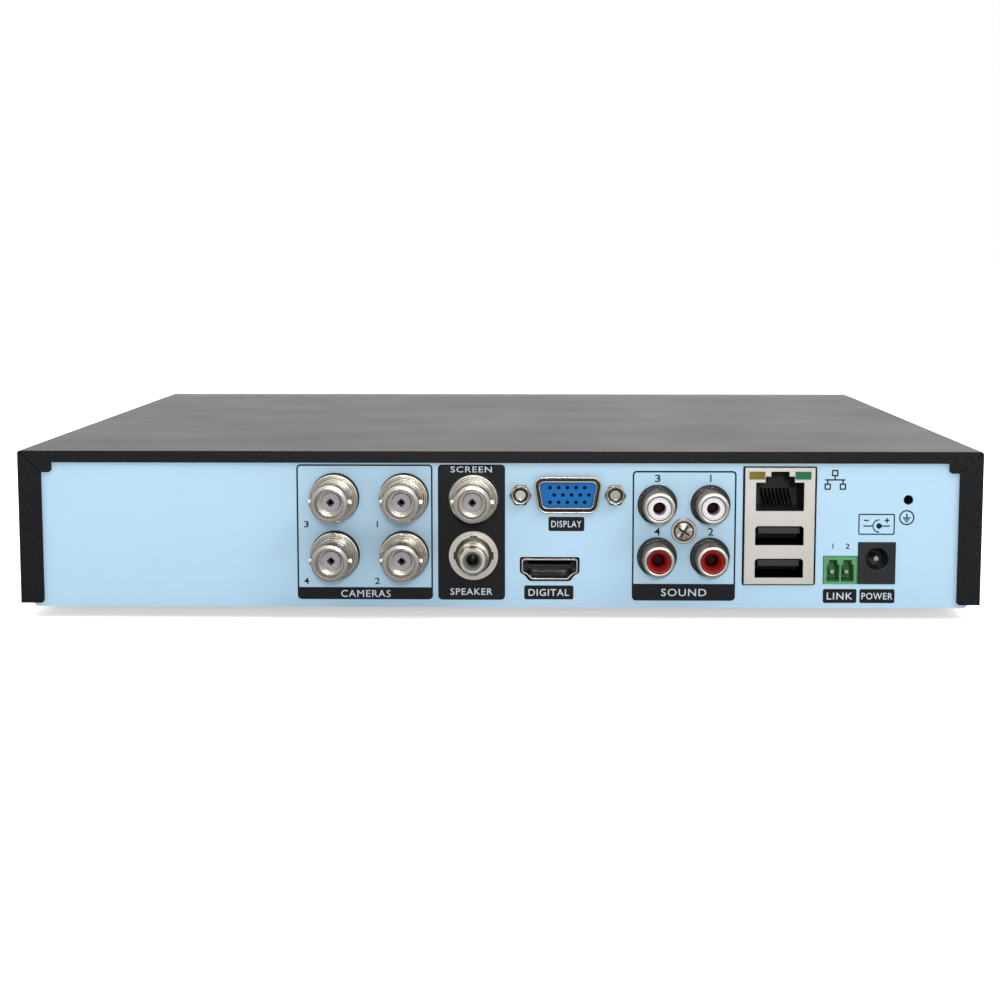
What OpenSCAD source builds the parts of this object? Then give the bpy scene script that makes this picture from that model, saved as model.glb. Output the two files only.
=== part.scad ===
// Four-channel video recorder with a hard disk, laid out as it comes apart on a bench.
// Millimetres. +Z is up, the connector panel faces -Y and the bezel faces +Y.
// The origin is at the centre of the footprint, on the surface that the feet stand on.

/* [Body] */
// Width over the sides of the cover
body_w = 255; // [250:1:320]
// Depth from the cover's rear flange to the face of the bezel
body_d = 225; // [224:1:290]
// Height from the underside of the chassis to the top of the cover
body_h = 41.8; // [41.4:0.2:60]
// Thickness of the sheet steel
sheet_t = 0.8; // [0.6:0.02:1]
// Space between the cover and the chassis inside it
cover_gap = 0.2; // [0.1:0.05:0.4]
// Leg of the sloped bend between the chassis floor and its sides
bend_leg = 3; // [2:0.5:4]
// Height of the chassis's side walls
side_h = 13; // [12:0.5:16]
// Thickness of the printed film on the rear wall
label_t = 0.25; // [0.1:0.05:0.4]
// Outer radius of the cover's long bends
cover_r = 0.7; // [0.65:0.05:1.5]

/* [Cover flanges] */
// Width of the rear flange down each side
flange_side_w = 6.1; // [4:0.1:8]
// Height of the rear flange along the top
flange_top_h = 3.1; // [2:0.1:4]
// Width of the corner tab, from the cover's side
tab_w = 8.9; // [8.2:0.1:12]
// Height of the corner tab, from the cover's top
tab_h = 5.7; // [4.5:0.1:8]
// Radius of the free corners of the flanges
flange_r = 0.9; // [0.4:0.1:1.2]
// Width of the open mitre in each corner
mitre_gap = 0.2; // [0.1:0.05:0.4]
// Height of the cover's lower edge above the chassis's underside
flap_lift = 1; // [0.5:0.1:2]

/* [Cover vents and screws] */
// Width of a vent slot
vent_w = 2.4; // [1.5:0.1:3]
// Length of a vent slot
vent_l = 16; // [10:0.5:20]
// Distance from one vent slot to the next
vent_pitch = 5; // [4:0.1:7]
// Slots in a bank
vent_count = 7; // [3:1:9]
// Distance of the cover screws from the rear flange and from the bezel
cover_screw_inset = 60; // [54:1:70]
// Height of the cover screws above the chassis floor
cover_screw_rise = 7.5; // [6:0.5:10]
// Radius of the cover screws' threads
cover_screw_r = 1.45; // [1.2:0.05:1.5]
// Radius of the cover screws' heads
cover_head_r = 2.8; // [2.4:0.1:3]
// Height of the cover screws' heads
cover_head_h = 1.6; // [1:0.1:2.2]

/* [Feet] */
// Height of a foot below the chassis
foot_h = 3.2; // [3:0.1:6]
// Radius of a foot at the top
foot_r = 9; // [6:0.5:12]
// Distance of the feet from the cover's sides
foot_inset_x = 38; // [30:1:45]
// Distance of the feet from the rear flange and from the bezel's face
foot_inset_y = 46; // [44:1:50]
// Radius of the stem that holds a foot in the floor
foot_stem_r = 1.95; // [1.5:0.05:2.5]

/* [Bezel] */
// Depth of the front bezel
bezel_d = 14; // [12:0.5:20]
// Wall of the bezel
bezel_t = 2; // [1.5:0.1:2.4]
// Seam between the cover and the bezel
seam = 0.2; // [0.1:0.05:0.5]
// Corner radius of the bezel's outline
bezel_r = 0.9; // [0.8:0.1:4]
// Chamfer around the bezel's face
bezel_chamfer = 0.5; // [0.3:0.1:0.7]
// Width of the infrared window
window_w = 26; // [20:1:26]
// Height of the infrared window
window_h = 12; // [8:0.5:16]
// Place of the window's centre
window_x = 62; // [62:0.5:64]
// Radius of a light pipe
pipe_r = 1.5; // [1:0.1:2]
// Distance from one light pipe to the next
pipe_pitch = 7; // [5:0.5:8]
// Place of the first light pipe
pipe_x = 86; // [84:1:90]

/* [Front board] */
// Width of the front board
front_board_w = 72; // [72:1:76]
// Height of the front board
front_board_h = 20; // [16:1:24]
// Thickness of the front board
front_board_t = 1.2; // [1:0.1:1.6]
// Place of the front board's centre
front_board_x = 76; // [75:0.5:77]
// Space between the bezel's face wall and the front board
front_board_gap = 5.4; // [4:0.1:6]

/* [Main board] */
// Width of the main board
board_w = 180; // [178:1:190]
// Depth of the main board
board_d = 86; // [84:1:90]
// Thickness of the main board
board_t = 1.6; // [1.2:0.1:2]
// Place of the main board's centre
board_x = 28; // [26:1:30]
// Height of the standoffs
standoff_h = 4.1; // [3.5:0.1:6]
// Width of a standoff across its flats
standoff_af = 5.5; // [5:0.1:6]
// Distance of the board screws from the board's edges
board_screw_inset = 5; // [4.5:0.1:6]
// Radius of the small machine screws
screw_r = 1.45; // [1.2:0.05:1.5]
// Radius of the small machine screws' heads
screw_head_r = 2.75; // [2.4:0.05:3]

/* [Bayonet jacks] */
// Place of the first column of jacks
bay_x = -43.5; // [-46:0.1:-42]
// Distance between columns
bay_pitch = 18.43; // [16.5:0.01:19]
// Height of the lower row above the main board
bay_low = 7.45; // [7:0.05:9]
// Distance between rows
bay_rise = 15.4; // [15:0.1:16]
// Radius of the base ring
bay_ring_r = 6.45; // [6:0.05:6.8]
// How far the base ring stands out of the panel
bay_ring_l = 3; // [2:0.1:4]
// Radius of the barrel
bay_barrel_r = 4.85; // [4.6:0.05:5]
// How far the barrel reaches out of the panel
bay_l = 15; // [13:0.5:17]
// Radius of the bore
bay_bore_r = 3.5; // [3.3:0.05:3.8]
// Radius of the insulator
bay_core_r = 2.55; // [2:0.05:3]
// Depth of the insulator's face inside the barrel
bay_core_depth = 4; // [3:0.1:6]

/* [Sound output jack] */
// Height of the jack above the main board
out_rise = 7.6; // [7:0.05:9]
// Radius of the base ring
out_ring_r = 6.5; // [6:0.05:6.8]
// How far the barrel reaches out of the panel
out_l = 11; // [9:0.5:13]
// Radius of the barrel
out_barrel_r = 4.15; // [4:0.05:4.3]

/* [Sound input jacks] */
// Place of the block's centre
phono_x = 49; // [48:0.1:50]
// Distance between jacks, both ways
phono_pitch = 14; // [13:0.1:14.5]
// Height of the lower row above the main board
phono_low = 7.1; // [6.8:0.1:9]
// Radius of the collar around a jack
phono_collar_r = 5.15; // [5:0.05:5.4]
// Radius of a barrel
phono_r = 4.15; // [4:0.05:4.3]
// How far a barrel reaches out of the panel
phono_l = 9.4; // [8:0.2:12]
// Radius of the coloured insert
phono_insert_r = 3; // [2.6:0.05:3.2]
// Radius of the hole in the insert
phono_hole_r = 1.7; // [1.5:0.05:1.9]

/* [Display socket] */
// Place of the socket's centre
dsub_x = 18.3; // [17:0.1:19.5]
// Height of the socket's centre above the main board
dsub_rise = 23.75; // [22:0.1:25]
// Width of the flared shell
dsub_w = 17.7; // [17:0.1:18.4]
// Height of the flared shell
dsub_h = 9.6; // [9:0.1:10]
// Distance between the jackscrews
jackscrew_pitch = 25; // [24.8:0.01:25.2]
// Width of a jackscrew across its flats
jackscrew_af = 5; // [4.7:0.05:5.2]
// Radius of the tapped hole in a jackscrew
jackscrew_hole_r = 1.42; // [1.2:0.01:1.5]

/* [Digital video socket] */
// Place of the socket's centre
hd_x = 13.55; // [12:0.05:15]
// Height of the socket's centre above the main board
hd_rise = 3.8; // [3.5:0.05:5]
// Width of the shell
hd_w = 14.9; // [14.5:0.05:15.2]
// Height of the shell
hd_h = 5.6; // [5.4:0.05:6]

/* [Network and data stack] */
// Place of the stack's centre
stack_x = 74.25; // [73:0.05:75]
// Width of the stack
stack_w = 18.4; // [18.2:0.1:19.2]
// Height of the stack above the main board
stack_h = 31; // [30.8:0.1:32]
// Depth of the stack
stack_d = 21.5; // [20:0.5:25]
// Thickness of the stack's shell
stack_t = 0.5; // [0.3:0.05:0.6]
// Width of a data socket's opening
data_w = 12.8; // [12.4:0.1:13]
// Height of a data socket's opening
data_h = 5.12; // [4.9:0.01:5.3]
// Height of the lower data socket above the main board
data_rise = 1.7; // [1.4:0.1:2]
// Distance from one data socket to the next
data_pitch = 8.7; // [8:0.1:8.8]

/* [Terminal and power] */
// Place of the terminal block's centre
term_x = 90.55; // [90:0.05:90.6]
// Width of the terminal block
term_w = 8.8; // [8.6:0.1:9]
// Height of the terminal block
term_h = 7.4; // [7:0.1:8]
// Distance between the terminals
term_pitch = 3.81; // [3.5:0.01:3.9]
// Place of the power jack's centre
power_x = 100.15; // [100.1:0.05:101]
// Width of the power jack
power_w = 9.7; // [9:0.1:10]
// Height of the power jack
power_h = 11.1; // [10.8:0.1:12]
// Height of the power jack's hole above the main board
power_rise = 6.7; // [6.2:0.1:7]
// Radius of the power jack's hole
power_hole_r = 3; // [2.8:0.05:3.2]
// Radius of the power jack's pin
power_pin_r = 1; // [0.8:0.05:1.3]

/* [Ground screw hole] */
// Place of the tapped hole
ground_x = 108.15; // [107:0.05:110]
// Height of the tapped hole above the main board
ground_rise = 22.5; // [20:0.1:25]
// Radius of the tapped hole
ground_r = 1.25; // [1:0.05:1.5]

/* [Hard disk] */
// Length of the disk drive
drive_l = 147; // [146:0.5:147.5]
// Width of the disk drive
drive_w = 101.6; // [101:0.1:102]
// Height of the disk drive without its screw heads
drive_h = 26.1; // [25:0.1:27]
// Thickness of the drive's lid
lid_t = 0.7; // [0.5:0.1:1]
// Place of the platters' centre, left to right
drive_x = -53; // [-56:1:-50]
// Space between the drive and the chassis's front wall
drive_gap = 12; // [11:0.5:16]
// Height of the raised pads under the drive
pad_h = 2; // [1.4:0.1:3]
// Radius of a platter
platter_r = 47.5; // [40:0.5:47.5]
// Thickness of a platter
platter_t = 1.27; // [0.8:0.01:1.5]
// Radius of the hub inside the platters
hub_r = 12.5; // [10:0.5:13]
// Radius of the fixed shafts of the hub and the arm
shaft_r = 2.5; // [2:0.1:3]
// Length of the arm from its pivot to its heads
arm_l = 48; // [46:0.5:48]

/* [Fan] */
// Width and height of the fan
fan_size = 30; // [28:0.5:32]
// Thickness of the fan
fan_t = 10; // [8:0.5:12]
// Distance between the fan's screw holes
fan_hole_pitch = 24; // [22:0.5:24.5]
// Radius of the fan's opening
fan_bore_r = 14; // [12:0.25:14.2]
// Radius of the fan's hub
fan_hub_r = 8; // [6:0.5:9]
// Distance of the fan's centre from the rear flange
fan_inset = 34; // [32:1:45]
// Height of the fan's centre above the chassis floor
fan_rise = 19.5; // [19:0.5:21]

/* [Fits] */
// Clearance around a piece that passes through a hole
hole_gap = 0.15; // [0.1:0.05:0.3]
// Space between the rear wall and what stands behind it
seat_gap = 0.1; // [0.05:0.05:0.3]
// Running clearance around a shaft
running_gap = 0.06; // [0.03:0.01:0.1]
// Clearance between a screw's thread and its tapped hole
thread_gap = 0.05; // [0.02:0.01:0.1]

/* [Hidden] */
$fn = 48;
tiny = 0.01;                                      // lets a cut run past the face it opens

// Heights
floor_z = foot_h;                                 // underside of the chassis
floor_top = floor_z + sheet_t;
top_z = floor_z + body_h;
wall_top = top_z - sheet_t - cover_gap;
board_z = floor_top + standoff_h;
board_top = board_z + board_t;
drive_z = floor_top + pad_h;
fan_z = floor_top + fan_rise;
cover_screw_z = floor_top + cover_screw_rise;

// Depths, from the bezel back to the jacks
flange_gap = 0.1;                                 // between the flanges and the printed film
reach = bay_l - sheet_t - flange_gap;             // how far the jacks pass the flanges
front_y = (body_d + reach) / 2;
rear_y = front_y - body_d;
label_y = rear_y + sheet_t + flange_gap;
wall_y = label_y + label_t;
wall_in = wall_y + sheet_t;
seat = label_t + sheet_t + seat_gap;              // depth at which parts behind the wall start
bezel_y = front_y - bezel_d;                      // back edge of the bezel, front of the chassis
cover_y = bezel_y - seam;
board_y = wall_in + 0.4;                          // rear edge of the main board
board_front = board_y + board_d;
fan_y = rear_y + fan_inset;

// Widths
tray_w = body_w - 2 * sheet_t - 2 * cover_gap;
inner_x = tray_w / 2 - sheet_t;                   // inner face of the chassis's side walls
fan_face = -inner_x + fan_t;                      // inner face of the fan

// Columns and rows
bay_columns = [for (i = [0:2]) bay_x + i * bay_pitch];
bayonets = concat([for (i = [0:1], j = [0:1]) [bay_columns[i], bay_low + j * bay_rise]],
                  [[bay_columns[2], bay_low + bay_rise]]);
phono_columns = [phono_x - phono_pitch / 2, phono_x + phono_pitch / 2];
data_rows = [data_rise, data_rise + data_pitch];
foot_spots = [for (x = [-1, 1], y = [rear_y + foot_inset_y, front_y - foot_inset_y])
              [x * (body_w / 2 - foot_inset_x), y]];
board_spots = [for (x = [-1, 1], y = [board_screw_inset, board_d - board_screw_inset])
               [board_x + x * (board_w / 2 - board_screw_inset), board_y + y]];
cover_spots = [rear_y + cover_screw_inset, cover_y - cover_screw_inset];
vent_banks = [fan_y, fan_y + 70];                 // centres of the slot banks on each side

// Hard disk, about the platters' centre
drive_tail = 51;                                  // platters' centre to the closed end
drive_nose = drive_l - drive_tail;                // platters' centre to the connector end
drive_y = bezel_y - sheet_t - drive_gap - drive_w / 2;
drive_deck = 7;                                   // thickness of metal under the platters
drive_rim = drive_h - lid_t;                      // height of the cast base
pocket_h = 4;                                     // recess for the drive's board
platter_levels = [11, 16];
hub_base = 8;
hub_top = platter_levels[1] + platter_t + 1.8;
pivot = [54, 18];
arm_park = 255.2;                                 // direction of the parked arm
drive_holes = [for (x = [drive_nose - 41.28 - 44.45, drive_nose - 41.28], y = [-47.63, 47.63]) [x, y]];
drive_screw_r = 1.7;
lid_spots = [for (x = [-drive_tail + 3.2, 22, drive_nose - 3.2], y = [-1, 1])
             [x, y * (drive_w / 2 - 3.2)]];

// Cable routes run on their edges beside the drive
drive_end = drive_x + drive_nose;
data_plug_y = drive_y - 31;
power_plug_y = drive_y - 11;
data_socket_x = drive_end + 21;
power_socket_x = drive_end + 39;
strap_z = board_top + 0.6;
strap_h = 4.6;
plug_l = 10;
front_socket_x = power_socket_x + 13;

// ---------- helpers ----------

// Stands its child on the panel's face, with local Z pointing out of the panel.
module on_panel(x, rise) {
  translate([x, label_y, board_top + rise]) rotate([90, 0, 0]) children();
}

// A box from one corner to the other.
module block(a, b) {
  translate(a) cube([for (i = [0:2]) b[i] - a[i]]);
}

// A tube along Z between two heights.
module ring(outer, inner, z0, z1) {
  translate([0, 0, z0]) difference() {
    cylinder(r = outer, h = z1 - z0);
    translate([0, 0, -tiny]) cylinder(r = inner, h = z1 - z0 + 2 * tiny);
  }
}

// A slot with round ends, centred, its length along Y.
module slot(w, l) {
  square([w, l - w], center = true);
  for (y = [-1, 1]) translate([0, y * (l - w) / 2]) circle(r = w / 2);
}

// A rectangle with round corners, centred.
module rounded(w, h, r) {
  square([w - 2 * r, h], center = true);
  square([w, h - 2 * r], center = true);
  for (x = [-1, 1], y = [-1, 1])
    translate([x * (w / 2 - r), y * (h / 2 - r)]) circle(r = r);
}

// The outline of a trapezoid socket, wider at the top, with round corners.
module trapezoid(w, h, r) {
  lean = (h - 2 * r) * tan(10);
  hull() for (s = [-1, 1]) {
    translate([s * (w / 2 - r), h / 2 - r]) circle(r = r, $fn = 32);
    translate([s * (w / 2 - r - lean), -h / 2 + r]) circle(r = r, $fn = 32);
  }
}

// The shell outline of the digital video socket, drawn in at the lower corners.
// Each point is a distance in from the side and up from the middle, as a share of half the height.
hd_corner = [[2.85, -1], [2.35, -0.93], [1.6, -0.62], [1.05, -0.45], [0.35, -0.36], [0.08, -0.25], [0, -0.1],
             [0, 0.78], [0.12, 0.92], [0.3, 0.98], [0.6, 1]];
module hd_outline(w, h) {
  right = [for (p = hd_corner) [w / 2 - p[0], p[1] * h / 2]];
  left = [for (i = [len(hd_corner) - 1:-1:0]) [-right[i][0], right[i][1]]];
  polygon(concat(right, left));
}

// The network jack's stepped opening, from its lower edge up.
module network_outline(gap = 0) {
  steps = [[6.35, 0], [6.35, 7.6], [3.85, 7.6], [3.85, 9.2], [2.4, 9.2], [2.4, 10.5]];
  right = [for (p = steps) [p[0] + gap, p[1] + (p[1] > 0 ? gap : -gap)]];
  left = [for (i = [len(steps) - 1:-1:0]) [-right[i][0], right[i][1]]];
  polygon(concat(right, left));
}

// A data socket's opening, with its top corners cut.
module data_outline(w, h, cut = 0.6) {
  half = w / 2;
  polygon([[-half, 0], [half, 0], [half, h - cut], [half - cut, h], [-half + cut, h], [-half, h - cut]]);
}

// A flat sector of a ring between two angles.
module sector(inner, outer, from, to) {
  steps = 12;
  angles = [for (i = [0:steps]) from + (to - from) * i / steps];
  polygon(concat([for (a = angles) outer * [cos(a), sin(a)]],
                 [for (i = [steps:-1:0]) inner * [cos(angles[i]), sin(angles[i])]]));
}

// A screw with a domed head and a cross recess; its head sits on z = 0 and the thread goes down.
module pan_screw(thread_r, head_r, head_h, length) {
  recess = head_r * 0.55;
  difference() {
    union() {
      cylinder(r = head_r, h = head_h * 0.55);
      translate([0, 0, head_h * 0.55]) cylinder(r1 = head_r, r2 = head_r * 0.72, h = head_h * 0.45);
    }
    for (a = [0, 90]) rotate(a)
      translate([-recess, -head_r * 0.1, head_h * 0.45]) cube([2 * recess, head_r * 0.2, head_h]);
  }
  translate([0, 0, -length]) cylinder(r = thread_r, h = length);
}

// Points on a smooth curve through the given ones.
function curve_point(p, i, t) =
  let (a = p[max(i - 1, 0)], b = p[i], c = p[i + 1], d = p[min(i + 2, len(p) - 1)])
  0.5 * (2 * b + (c - a) * t + (2 * a - 5 * b + 4 * c - d) * t * t + (3 * b - a - 3 * c + d) * t * t * t);
function smooth(p, steps) =
  concat([for (i = [0:len(p) - 2], k = [0:steps - 1]) curve_point(p, i, k / steps)], [p[len(p) - 1]]);
function unit(v) = v / norm(v);

// A round lead along a smooth curve.
module lead(points, r) {
  p = smooth(points, 4);
  n = len(p);
  sides = 8;
  rings = [for (i = [0:n - 1])
    let (t = unit(p[min(i + 1, n - 1)] - p[max(i - 1, 0)]),
         u = unit(cross(t, abs(t[2]) < 0.9 ? [0, 0, 1] : [1, 0, 0])),
         v = cross(u, t))
    for (k = [0:sides - 1]) p[i] + r * (cos(k * 360 / sides) * u + sin(k * 360 / sides) * v)];
  polyhedron(points = rings, faces = concat(
    [[for (k = [sides - 1:-1:0]) k]],
    [for (i = [0:n - 2], k = [0:sides - 1])
      [i * sides + k, i * sides + (k + 1) % sides, (i + 1) * sides + (k + 1) % sides, (i + 1) * sides + k]],
    [[for (k = [0:sides - 1]) (n - 1) * sides + k]]));
}

// A flat strap on its edge: out of the drive along X, round a bend, and back to the board along -Y.
module strap(y, x, bend, t) {
  x0 = drive_end + plug_l + 1.5;
  y1 = board_front + plug_l;
  block([x0, y - t / 2, strap_z], [x - bend, y + t / 2, strap_z + strap_h]);
  block([x - t / 2, y1, strap_z], [x + t / 2, y - bend, strap_z + strap_h]);
  translate([x - bend, y - bend, strap_z])
    rotate_extrude(angle = 90) translate([bend - t / 2, 0]) square([t, strap_h]);
}

// ---------- casing ----------

// The rear wall's outline, with the sloped bends at the bottom.
module rear_outline() {
  w = tray_w / 2;
  polygon([[-w + bend_leg, floor_z], [w - bend_leg, floor_z], [w, floor_z + bend_leg], [w, wall_top],
           [-w, wall_top], [-w, floor_z + bend_leg]]);
}

// What the panel is cut for, seen from behind, with heights from the top of the main board.
module panel_cuts(ground) {
  for (p = bayonets) translate(p) circle(r = bay_ring_r + hole_gap);
  translate([bay_columns[2], out_rise]) circle(r = out_ring_r + hole_gap);
  for (x = phono_columns, j = [0, 1])
    translate([x, phono_low + j * phono_pitch]) circle(r = phono_collar_r + hole_gap);
  translate([phono_x, phono_low + phono_pitch / 2]) circle(r = screw_r + hole_gap);
  translate([dsub_x, dsub_rise]) {
    trapezoid(dsub_w - 1, dsub_h - 1, 2);
    for (s = [-1, 1]) translate([s * jackscrew_pitch / 2, 0]) circle(r = jackscrew_hole_r + 0.3);
  }
  translate([hd_x, hd_rise]) hd_outline(hd_w + 1, hd_h + 0.9);
  translate([stack_x, stack_h / 2]) rounded(stack_w + 1.1, stack_h + 0.7, 0.4);
  translate([term_x - term_w / 2 - hole_gap, -tiny]) square([term_w + 2 * hole_gap, term_h + hole_gap]);
  translate([power_x - power_w / 2 - hole_gap, -tiny]) square([power_w + 2 * hole_gap, power_h + hole_gap]);
  translate([ground_x, ground_rise]) circle(r = ground);
}

module rear_sheet(t, y, ground) {
  translate([0, y, 0]) rotate([90, 0, 0]) linear_extrude(t) difference() {
    rear_outline();
    translate([0, board_top]) panel_cuts(ground);
  }
}

module tray_profile() {
  w = tray_w / 2;
  inner_leg = bend_leg - sheet_t * (2 - sqrt(2));
  side_top = floor_z + side_h;
  polygon([[-w, side_top], [-w, floor_z + bend_leg], [-w + bend_leg, floor_z], [w - bend_leg, floor_z],
           [w, floor_z + bend_leg], [w, side_top], [inner_x, side_top], [inner_x, floor_top + inner_leg],
           [inner_x - inner_leg, floor_top], [-inner_x + inner_leg, floor_top],
           [-inner_x, floor_top + inner_leg], [-inner_x, side_top]]);
}

hook_spots = [for (x = [-1, 1]) each [[x * 100, 34], [x * 74, 4]]];  // place and height above the floor
hook_w = 6;
hook_t = 1.6;

module bottom_chassis() {
  tab_w = fan_size + 4;
  tab_top = fan_z + fan_size / 2 + 1;
  color("silver") difference() {
    union() {
      translate([0, bezel_y, 0]) rotate([90, 0, 0]) linear_extrude(bezel_y - wall_y) tray_profile();
      rear_sheet(sheet_t, wall_in, ground_r);
      on_panel(ground_x, ground_rise)
        ring(ground_r + 1, ground_r, -label_t - sheet_t - 1.2, -label_t - sheet_t);
      // front wall
      translate([0, bezel_y, 0]) rotate([90, 0, 0]) linear_extrude(sheet_t) rear_outline();
      // raised tab that carries the fan
      block([-tray_w / 2, fan_y - tab_w / 2, floor_z + side_h - 1], [-inner_x, fan_y + tab_w / 2, tab_top]);
      for (p = drive_holes)
        translate([drive_x + p[0], drive_y + p[1], floor_top]) cylinder(r = 6, h = pad_h);
    }
    for (p = foot_spots) translate([p[0], p[1], floor_z - 1]) cylinder(r = foot_stem_r + thread_gap, h = 3);
    for (p = board_spots) translate([p[0], p[1], floor_z - 1])
      cylinder(r = standoff_af / sqrt(3) * 0.86, h = 3);
    for (p = drive_holes) translate([drive_x + p[0], drive_y + p[1], floor_z - 1])
      cylinder(r = drive_screw_r + hole_gap, h = pad_h + 4);
    // window in the front wall for the front board's cable and posts
    block([front_board_x - front_board_w / 2 - 2, bezel_y - 2, floor_top + 8],
          [front_board_x + front_board_w / 2 + 2, bezel_y + 1, floor_top + 32]);
    for (p = hook_spots) block([p[0] - hook_w / 2 - 0.4, bezel_y - 2, floor_top + p[1] - 0.3],
                               [p[0] + hook_w / 2 + 0.4, bezel_y + 1, floor_top + p[1] + hook_t + 1.2]);
    for (y = cover_spots) translate([-tray_w, y, cover_screw_z]) rotate([0, 90, 0])
      cylinder(r = cover_screw_r + thread_gap, h = 2 * tray_w);
    translate([-inner_x - 2, fan_y, fan_z]) rotate([0, 90, 0]) {
      cylinder(r = fan_bore_r, h = 4);
      for (a = [-1, 1], b = [-1, 1]) translate([a * fan_hole_pitch / 2, b * fan_hole_pitch / 2, 0])
        cylinder(r = screw_r + thread_gap, h = 4);
    }
  }
}

// The cover's section: top and sides with rounded bends, open below.
module cover_section(inset, r) {
  w = body_w - 2 * inset;
  translate([-w / 2, floor_z + flap_lift - (inset > 0 ? 1 : 0)])
    square([w, body_h - flap_lift - inset - r + (inset > 0 ? 1 : 0)]);
  translate([-w / 2 + r, top_z - inset - r - tiny]) square([w - 2 * r, r + tiny]);
  for (s = [-1, 1]) translate([s * (w / 2 - r), top_z - inset - r]) circle(r = r);
}

// One rear flange corner with its tab, seen from behind on the right.
module flange_corner() {
  w = body_w / 2;
  difference() {
    translate([w - tab_w, top_z - tab_h]) square([tab_w, tab_h]);
    translate([w - tab_w - tiny, top_z - tab_h - tiny]) difference() {
      square(flange_r);
      translate([flange_r + tiny, flange_r + tiny]) circle(r = flange_r);
    }
  }
}

module rear_flanges() {
  w = body_w / 2;
  low = floor_z + flap_lift;
  intersection() {
    cover_section(0, cover_r);
    difference() {
      union() {
        translate([-w, top_z - flange_top_h]) square([body_w, flange_top_h]);
        for (s = [0, 1]) mirror([s, 0]) {
          flange_corner();
          difference() {
            translate([w - flange_side_w, low]) square([flange_side_w, body_h - flap_lift]);
            translate([w - flange_side_w - tiny, low - tiny]) difference() {
              square(flange_r);
              translate([flange_r + tiny, flange_r + tiny]) circle(r = flange_r);
            }
          }
        }
      }
      // open mitre, from the outer corner to the tab's foot
      for (s = [0, 1]) mirror([s, 0]) translate([w, top_z])
        rotate(180 + atan(tab_h / flange_side_w))
          translate([-1, -mitre_gap / 2]) square([norm([tab_h, flange_side_w]) + 1 + mitre_gap, mitre_gap]);
    }
  }
}

module top_cover() {
  color([0.13, 0.13, 0.14]) difference() {
    union() {
      translate([0, cover_y, 0]) rotate([90, 0, 0]) linear_extrude(cover_y - rear_y - sheet_t) difference() {
        cover_section(0, cover_r);
        cover_section(sheet_t, cover_r - 0.6 * sheet_t);
      }
      translate([0, rear_y + sheet_t, 0]) rotate([90, 0, 0]) linear_extrude(sheet_t) rear_flanges();
    }
    for (y = cover_spots) translate([-body_w, y, cover_screw_z]) rotate([0, 90, 0])
      cylinder(r = cover_screw_r + hole_gap, h = 2 * body_w);
    for (bank = vent_banks, i = [0:vent_count - 1])
      translate([-body_w, bank + (i - (vent_count - 1) / 2) * vent_pitch, fan_z])
        rotate([0, 90, 0]) linear_extrude(2 * body_w) rotate(90) slot(vent_w, vent_l);
  }
}

module rear_label() {
  color([0.70, 0.83, 0.93]) rear_sheet(label_t, wall_y, ground_r + thread_gap);
}

module feet() {
  hollow = 3.2;
  color([0.12, 0.12, 0.12]) for (p = foot_spots) translate([p[0], p[1], 0]) {
    difference() {
      cylinder(r1 = foot_r - 0.8, r2 = foot_r, h = foot_h);
      translate([0, 0, -tiny]) cylinder(r = hollow, h = foot_h * 0.4);
    }
    translate([0, 0, foot_h - tiny]) cylinder(r = foot_stem_r, h = sheet_t + tiny);
    translate([0, 0, floor_top]) cylinder(r1 = foot_stem_r + 0.8, r2 = foot_stem_r * 0.6, h = 1.4);
  }
}

module cover_screws() {
  color([0.15, 0.15, 0.16]) for (s = [-1, 1], y = cover_spots)
    translate([s * body_w / 2, y, cover_screw_z]) rotate([0, s * 90, 0])
      pan_screw(cover_screw_r, cover_head_r, cover_head_h, 5);
}

// ---------- bezel ----------

module bezel_outline(inset) {
  low = floor_z - 0.5;
  translate([0, (top_z + low) / 2]) rounded(body_w - 2 * inset, top_z - low - 2 * inset, bezel_r);
}

front_board_y = front_y - bezel_t - front_board_gap;  // bezel-side face of the front board
front_board_z = floor_top + 20;
front_screw_x = front_board_w / 2 - 4;

module front_bezel() {
  color([0.10, 0.10, 0.11]) {
    difference() {
      union() {
        translate([0, front_y - bezel_chamfer, 0]) rotate([90, 0, 0])
          linear_extrude(bezel_d - bezel_chamfer) bezel_outline(0);
        hull() {
          translate([0, front_y, 0]) rotate([90, 0, 0])
            linear_extrude(tiny) bezel_outline(bezel_chamfer, $fn = 32);
          translate([0, front_y - bezel_chamfer + tiny, 0]) rotate([90, 0, 0])
            linear_extrude(tiny) bezel_outline(0, $fn = 32);
        }
      }
      block([-body_w / 2 + bezel_t, bezel_y - 1, floor_z - 0.5 + bezel_t],
            [body_w / 2 - bezel_t, front_y - bezel_t, top_z - bezel_t]);
      translate([window_x, front_y, front_board_z])
        block([-window_w / 2 - hole_gap, -bezel_t - 1, -window_h / 2 - hole_gap],
              [window_w / 2 + hole_gap, 1, window_h / 2 + hole_gap]);
      for (i = [0:2]) translate([pipe_x + i * pipe_pitch, front_y + 1, front_board_z]) rotate([90, 0, 0])
        cylinder(r = pipe_r + hole_gap, h = bezel_t + 2);
    }
    for (s = [-1, 1]) translate([front_board_x + s * front_screw_x, front_board_y, front_board_z])
      rotate([-90, 0, 0]) difference() {
        cylinder(r = 3, h = front_board_gap + tiny);
        translate([0, 0, -tiny]) cylinder(r = screw_r + thread_gap, h = front_board_gap - 0.5);
      }
    for (p = hook_spots) translate([p[0], bezel_y - sheet_t, floor_top + p[1]]) {
      block([-hook_w / 2, -1.6, 0], [hook_w / 2, bezel_d + sheet_t - bezel_t + tiny, hook_t]);
      block([-hook_w / 2, -1.6, hook_t - tiny], [hook_w / 2, -0.1, hook_t + 1]);
    }
  }
}

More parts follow.
